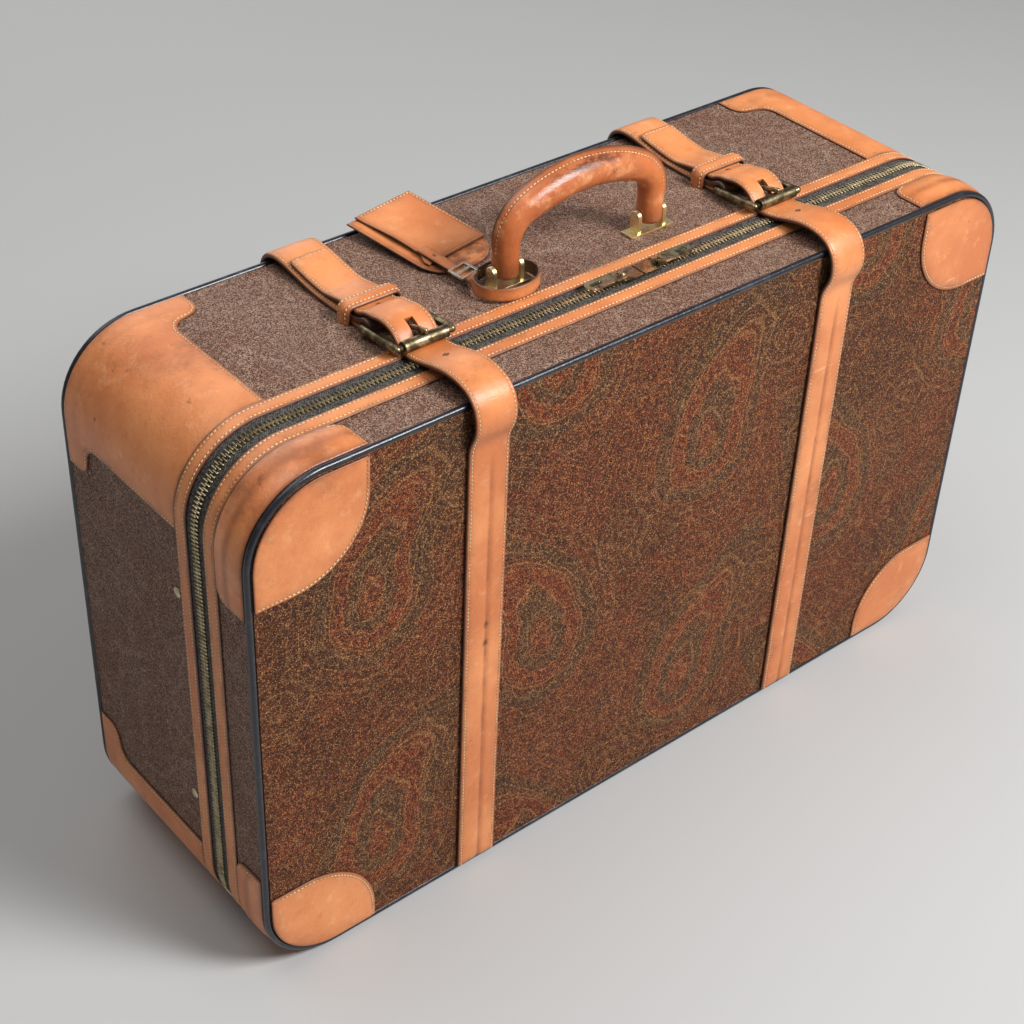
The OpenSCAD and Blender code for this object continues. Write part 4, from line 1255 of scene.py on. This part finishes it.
def tag_leaf(name, node, start, left_in, lift, painted_shadow):
    """A leaf of the tag, across between its edges and along from its start to the far end.

    The upper leaf stops short on the left and near sides and its free edge curls up a little. The last
    argument darkens the near end as the handle's painted shadow.
    """
    y = start + spread(0, TAG_L - start, inner=30)
    share = spread(0, TAG_W, inner=14) / TAG_W
    y_grid, share_grid = np.meshgrid(y, share, indexing="ij")
    half = np.maximum(tag_half(y_grid), 0.4)
    left = -half + left_in * np.clip((y_grid - start) / 12, 0.4, 1)
    x = left + (half - left) * share_grid
    bow = np.sin(np.pi * np.clip((y_grid - start) / TAG_CURL_L, 0, 1))
    curl = left_in * TAG_CURL * np.exp(-share_grid / 0.16) * bow
    middle = on_tag(np.stack([x, y_grid], -1), lift + TAG_LEAF_T / 2 + curl)
    out = np.broadcast_to(TAG_UP, middle.shape)
    from_sides = (half - left) * np.minimum(share_grid, 1 - share_grid)
    inside = np.minimum(np.minimum(y_grid - start, TAG_L - y_grid), from_sides)
    # The lower leaf's near end is darkened with the handle's painted shadow
    marks = {"stain": painted_shadow * np.clip((24 - y_grid) / 4, 0, 1)}
    piece = add_sheet(name, middle, out, inside, TAG_LEAF_T, "case", tan, puff=0.3, marks=marks,
                      sewn=inside)
    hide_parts(node)
    row_y = np.linspace(start + 8, TAG_L - STITCH_IN, 80)
    row = np.stack([tag_half(row_y) - STITCH_IN, row_y], -1)
    far = np.stack([np.linspace(TAG_W / 2 - STITCH_IN, -TAG_W / 2 + STITCH_IN + left_in, 40),
                    np.full(40, TAG_L - STITCH_IN)], -1)
    if left_in > 0:
        for path in (row, far):
            points = on_tag(path, lift + TAG_LEAF_T + 0.1)
            case_seams.row(points, np.broadcast_to(TAG_UP, points.shape))


tag_leaf("tag_lower_leather", "tag_lower_leaf", 0.0, 0.0, 0.0, 0.75)
tag_leaf("tag_upper_leather", "tag_upper_leaf", 18.0, 8.0, TAG_LEAF_T + CLEAR, 0.0)


def tag_strap():
    """The tag's narrow strap: flat on the tag, through its buckle, on edge round the handle's foot.

    Its middle line runs along the tag and into an oval; its width turns from level to upright. Its
    holes are painted as dark round marks for the shade in them.
    """
    lift = 2 * TAG_LEAF_T + 3 * CLEAR + TAG_STRAP_T / 2
    flat_y = np.linspace(TAG_STRAP_END, -10, 30)
    flat = np.stack([np.full(30, TAG_STRAP_X), flat_y], -1)
    flat = on_tag(flat, lift + 0.6 * np.clip(flat_y / TAG_STRAP_END, 0, 1))
    turn = np.radians(np.linspace(128, 128 + 348, 90))
    oval = np.stack([
        -FOOT_X - 2 + TAG_LOOP[0] * np.cos(turn),
        HANDLE_Y - 4 + TAG_LOOP[1] * np.sin(turn),
        np.full(90, CANVAS_Z + 2.1 + TAG_STRAP_W / 2),
    ], -1)
    path = eased(evenly(np.concatenate([flat, oval]), 1.2), 12)
    far = travelled(path)
    bend = travelled(np.concatenate([flat, oval]))[len(flat)]
    turned = np.clip((far - bend + 9) / 16, 0, 1)
    turned = turned**2 * (3 - 2 * turned)
    ahead = np.gradient(path, axis=0)
    ahead /= np.linalg.norm(ahead, axis=1, keepdims=True)
    level = np.cross(ahead, TAG_UP)
    wide = level * (1 - turned)[:, None] - np.array([0.0, 0.0, 1.0]) * turned[:, None]
    wide -= ahead * np.sum(wide * ahead, axis=1, keepdims=True)
    wide /= np.linalg.norm(wide, axis=1, keepdims=True)
    out = np.cross(wide, ahead)
    places = spread(-TAG_STRAP_W / 2, TAG_STRAP_W / 2, inner=3)
    middle = path[:, None] + wide[:, None] * places[:, None]
    inside = np.minimum(TAG_STRAP_W / 2 - np.abs(places), np.minimum(far, far[-1] - far)[:, None])
    # The holes are painted shade: dark round marks
    hole = np.zeros(inside.shape)
    for stop in TAG_HOLES:
        hole = np.maximum(hole, np.clip((1.5 - np.hypot(places, far[:, None] - stop)) / 0.6, 0, 1))
    out_grid = np.broadcast_to(out[:, None], middle.shape)
    piece = add_sheet("tag_strap_leather", middle, out_grid, inside, TAG_STRAP_T, "case", tan,
                      edge=1.0, marks={"stain": hole * 5})
    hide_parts("tag_strap")


tag_strap()


# Zip teeth

def zip_teeth(name, node, centre_y, shift, body):
    """A row of rounded brass teeth round three sides of the case, an even pitch apart."""
    low_turn = math.asin((CORNER_R - ZIP_END_Z - 2) / CORNER_R)
    half = RUN_TOP + QUARTER + RUN_SIDE + CORNER_R * low_turn
    count = math.floor(half / TOOTH_PITCH - 0.5)
    s = (np.arange(-count, count + 1) + shift) * TOOTH_PITCH
    up = rim_out(s)
    along = np.broadcast_to([0.0, 1.0, 0.0], up.shape)
    centres = on_rim(s, centre_y, np.full(s.shape, -TOOTH_IN - 0.3))
    tooth = bead_shape(TOOTH_REACH + TOOTH_BITE, TOOTH_L, TOOTH_H / 2, 8, 8)
    points, quads, caps = repeat(tooth, centres, along, up)
    piece = add_piece(name, points, [quads, caps], body, chain_brass)
    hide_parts(node)


TOOTH_MIDDLE = (TOOTH_REACH - TOOTH_BITE) / 2
zip_teeth("body_zip_chain", "body_zip_teeth", PART_Y + TOOTH_MIDDLE, 0.0, "case")
zip_teeth("lid_zip_chain", "lid_zip_teeth", PART_Y - TOOTH_MIDDLE, 0.5, "lid")

case_seams.sew("case_stitches", "case")
lid_seams.sew("lid_stitches", "lid")
lid_strap_seams.sew("strap_stitches", "lid")


# Metal parts

FLAT_ANGLE = math.radians(1)
METAL_SHARP = math.radians(40)


def rounded_metal(node, width, finish):
    """A copy of a solid: doubles merged, flat faces joined, edges rounded by a width in millimetres."""
    solid = frame["nodes"][node]
    shape = bmesh.new()
    shape.from_mesh(solid.data)
    bmesh.ops.remove_doubles(shape, verts=shape.verts, dist=1e-6)
    bmesh.ops.dissolve_limit(shape, angle_limit=FLAT_ANGLE, verts=shape.verts, edges=shape.edges)
    mesh = bpy.data.meshes.new(f"{node}_metal")
    shape.to_mesh(mesh)
    shape.free()
    mesh.shade_smooth()
    mesh.set_sharp_from_angle(angle=METAL_SHARP)
    mesh.materials.append(finish)
    piece = add_object(f"{node}_metal", mesh)
    bevel = piece.modifiers.new("rounded_edges", "BEVEL")
    bevel.width = width * MM
    bevel.segments = 2
    bevel.limit_method = "ANGLE"
    bevel.angle_limit = METAL_SHARP
    bevel.harden_normals = True
    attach(piece, body_of(solid)[0])
    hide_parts(node)


for side in SIDES:
    for node, width, finish in (
        ("slider", 0.5, pull_brass), ("pull", 0.5, pull_brass), ("buckle_frame", 0.5, old_brass),
        ("roller", 0.4, old_brass), ("tongue", 0.5, old_brass),
    ):
        rounded_metal(f"{node}_{side}", width, finish)
    rounded_metal(f"handle_plate_{side}", 0.4, gold_brass)
    rounded_metal(f"handle_pin_{side}", 0.3, gold_brass)
rounded_metal("tag_buckle", 0.4, nickel)
rounded_metal("side_studs", 0.3, chain_brass)


# Floor, light and camera

FLOOR_GREY = (0.48, 0.48, 0.48, 1)
FLOOR_REACH = 30.0
FLOOR_Z = -0.0005
VIEW_AZIMUTH, VIEW_ELEVATION, VIEW_ROLL = np.radians([-40.933, 37.468, 2.544])
VIEW_PLACE = np.array([-828.4, -906.5, 1130.6]) * MM
SENSOR_W = 36.0
LENS = 69.27
VIEW_REACH = 50.0
SKY_COLOUR = (1.0, 0.98, 0.95, 1)
SKY_STRENGTH = 0.22


def studio_floor():
    """A pale level floor, much wider than the case."""
    finish = Finish("pale_floor", roughness=0.8)
    finish.shader.inputs["Base Color"].default_value = FLOOR_GREY
    x, y = np.meshgrid([-FLOOR_REACH, FLOOR_REACH], [-FLOOR_REACH, FLOOR_REACH])
    mesh = bpy.data.meshes.new("studio_floor")
    points = np.stack([x, y, np.full(x.shape, FLOOR_Z)], -1).reshape(-1, 3)
    mesh.from_pydata(points.tolist(), [], [(0, 1, 3, 2)])
    mesh.materials.append(finish.material)
    floor = add_object("studio_floor", mesh)


def soft_lamp(name, place, target, size, power):
    """A square lamp that faces a target, its size in metres and its power in watts."""
    data = bpy.data.lights.new(name, "AREA")
    data.size = size
    data.energy = power
    lamp = add_object(name, data)
    back = np.array(place) - np.array(target)
    back /= np.linalg.norm(back)
    right = np.cross([0.0, 1.0, 0.01], back)
    right /= np.linalg.norm(right)
    axes = np.stack([right, np.cross(back, right), back], 1)
    lamp.matrix_world = Matrix.Translation(place) @ Matrix(axes.tolist()).to_4x4()


def photo_camera():
    """A camera at the photograph's place, turned about its line of sight by the photograph's roll."""
    right = np.array([math.cos(VIEW_AZIMUTH), math.sin(VIEW_AZIMUTH), 0.0])
    level = np.array([math.sin(VIEW_AZIMUTH), -math.cos(VIEW_AZIMUTH), 0.0])
    back = level * math.cos(VIEW_ELEVATION) + [0.0, 0.0, math.sin(VIEW_ELEVATION)]
    up = np.cross(back, right)
    cosine, sine = math.cos(VIEW_ROLL), math.sin(VIEW_ROLL)
    axes = np.stack([cosine * right + sine * up, cosine * up - sine * right, back], 1)
    data = bpy.data.cameras.new("photo_camera")
    data.sensor_width = SENSOR_W
    data.lens = LENS
    data.clip_end = VIEW_REACH
    camera = add_object("photo_camera", data)
    camera.matrix_world = Matrix.Translation(VIEW_PLACE.tolist()) @ Matrix(axes.tolist()).to_4x4()
    bpy.context.scene.camera = camera


studio_floor()
soft_lamp("key_lamp", place=(0.75, -1.62, 2.0), target=(0, 0, 0.25), size=0.9, power=82)
soft_lamp("top_lamp", place=(-0.6, 0.4, 2.2), target=(0, 0, 0.3), size=1.2, power=12)
soft_lamp("back_lamp", place=(0.5, 2.4, 1.3), target=(0, 0, 0.2), size=2.0, power=16)
photo_camera()
scene = bpy.context.scene
scene.view_settings.view_transform = "Standard"
scene.world = bpy.data.worlds.new("studio")
scene.world.use_nodes = True
sky = scene.world.node_tree.nodes["Background"]
sky.inputs["Color"].default_value = SKY_COLOUR
sky.inputs["Strength"].default_value = SKY_STRENGTH
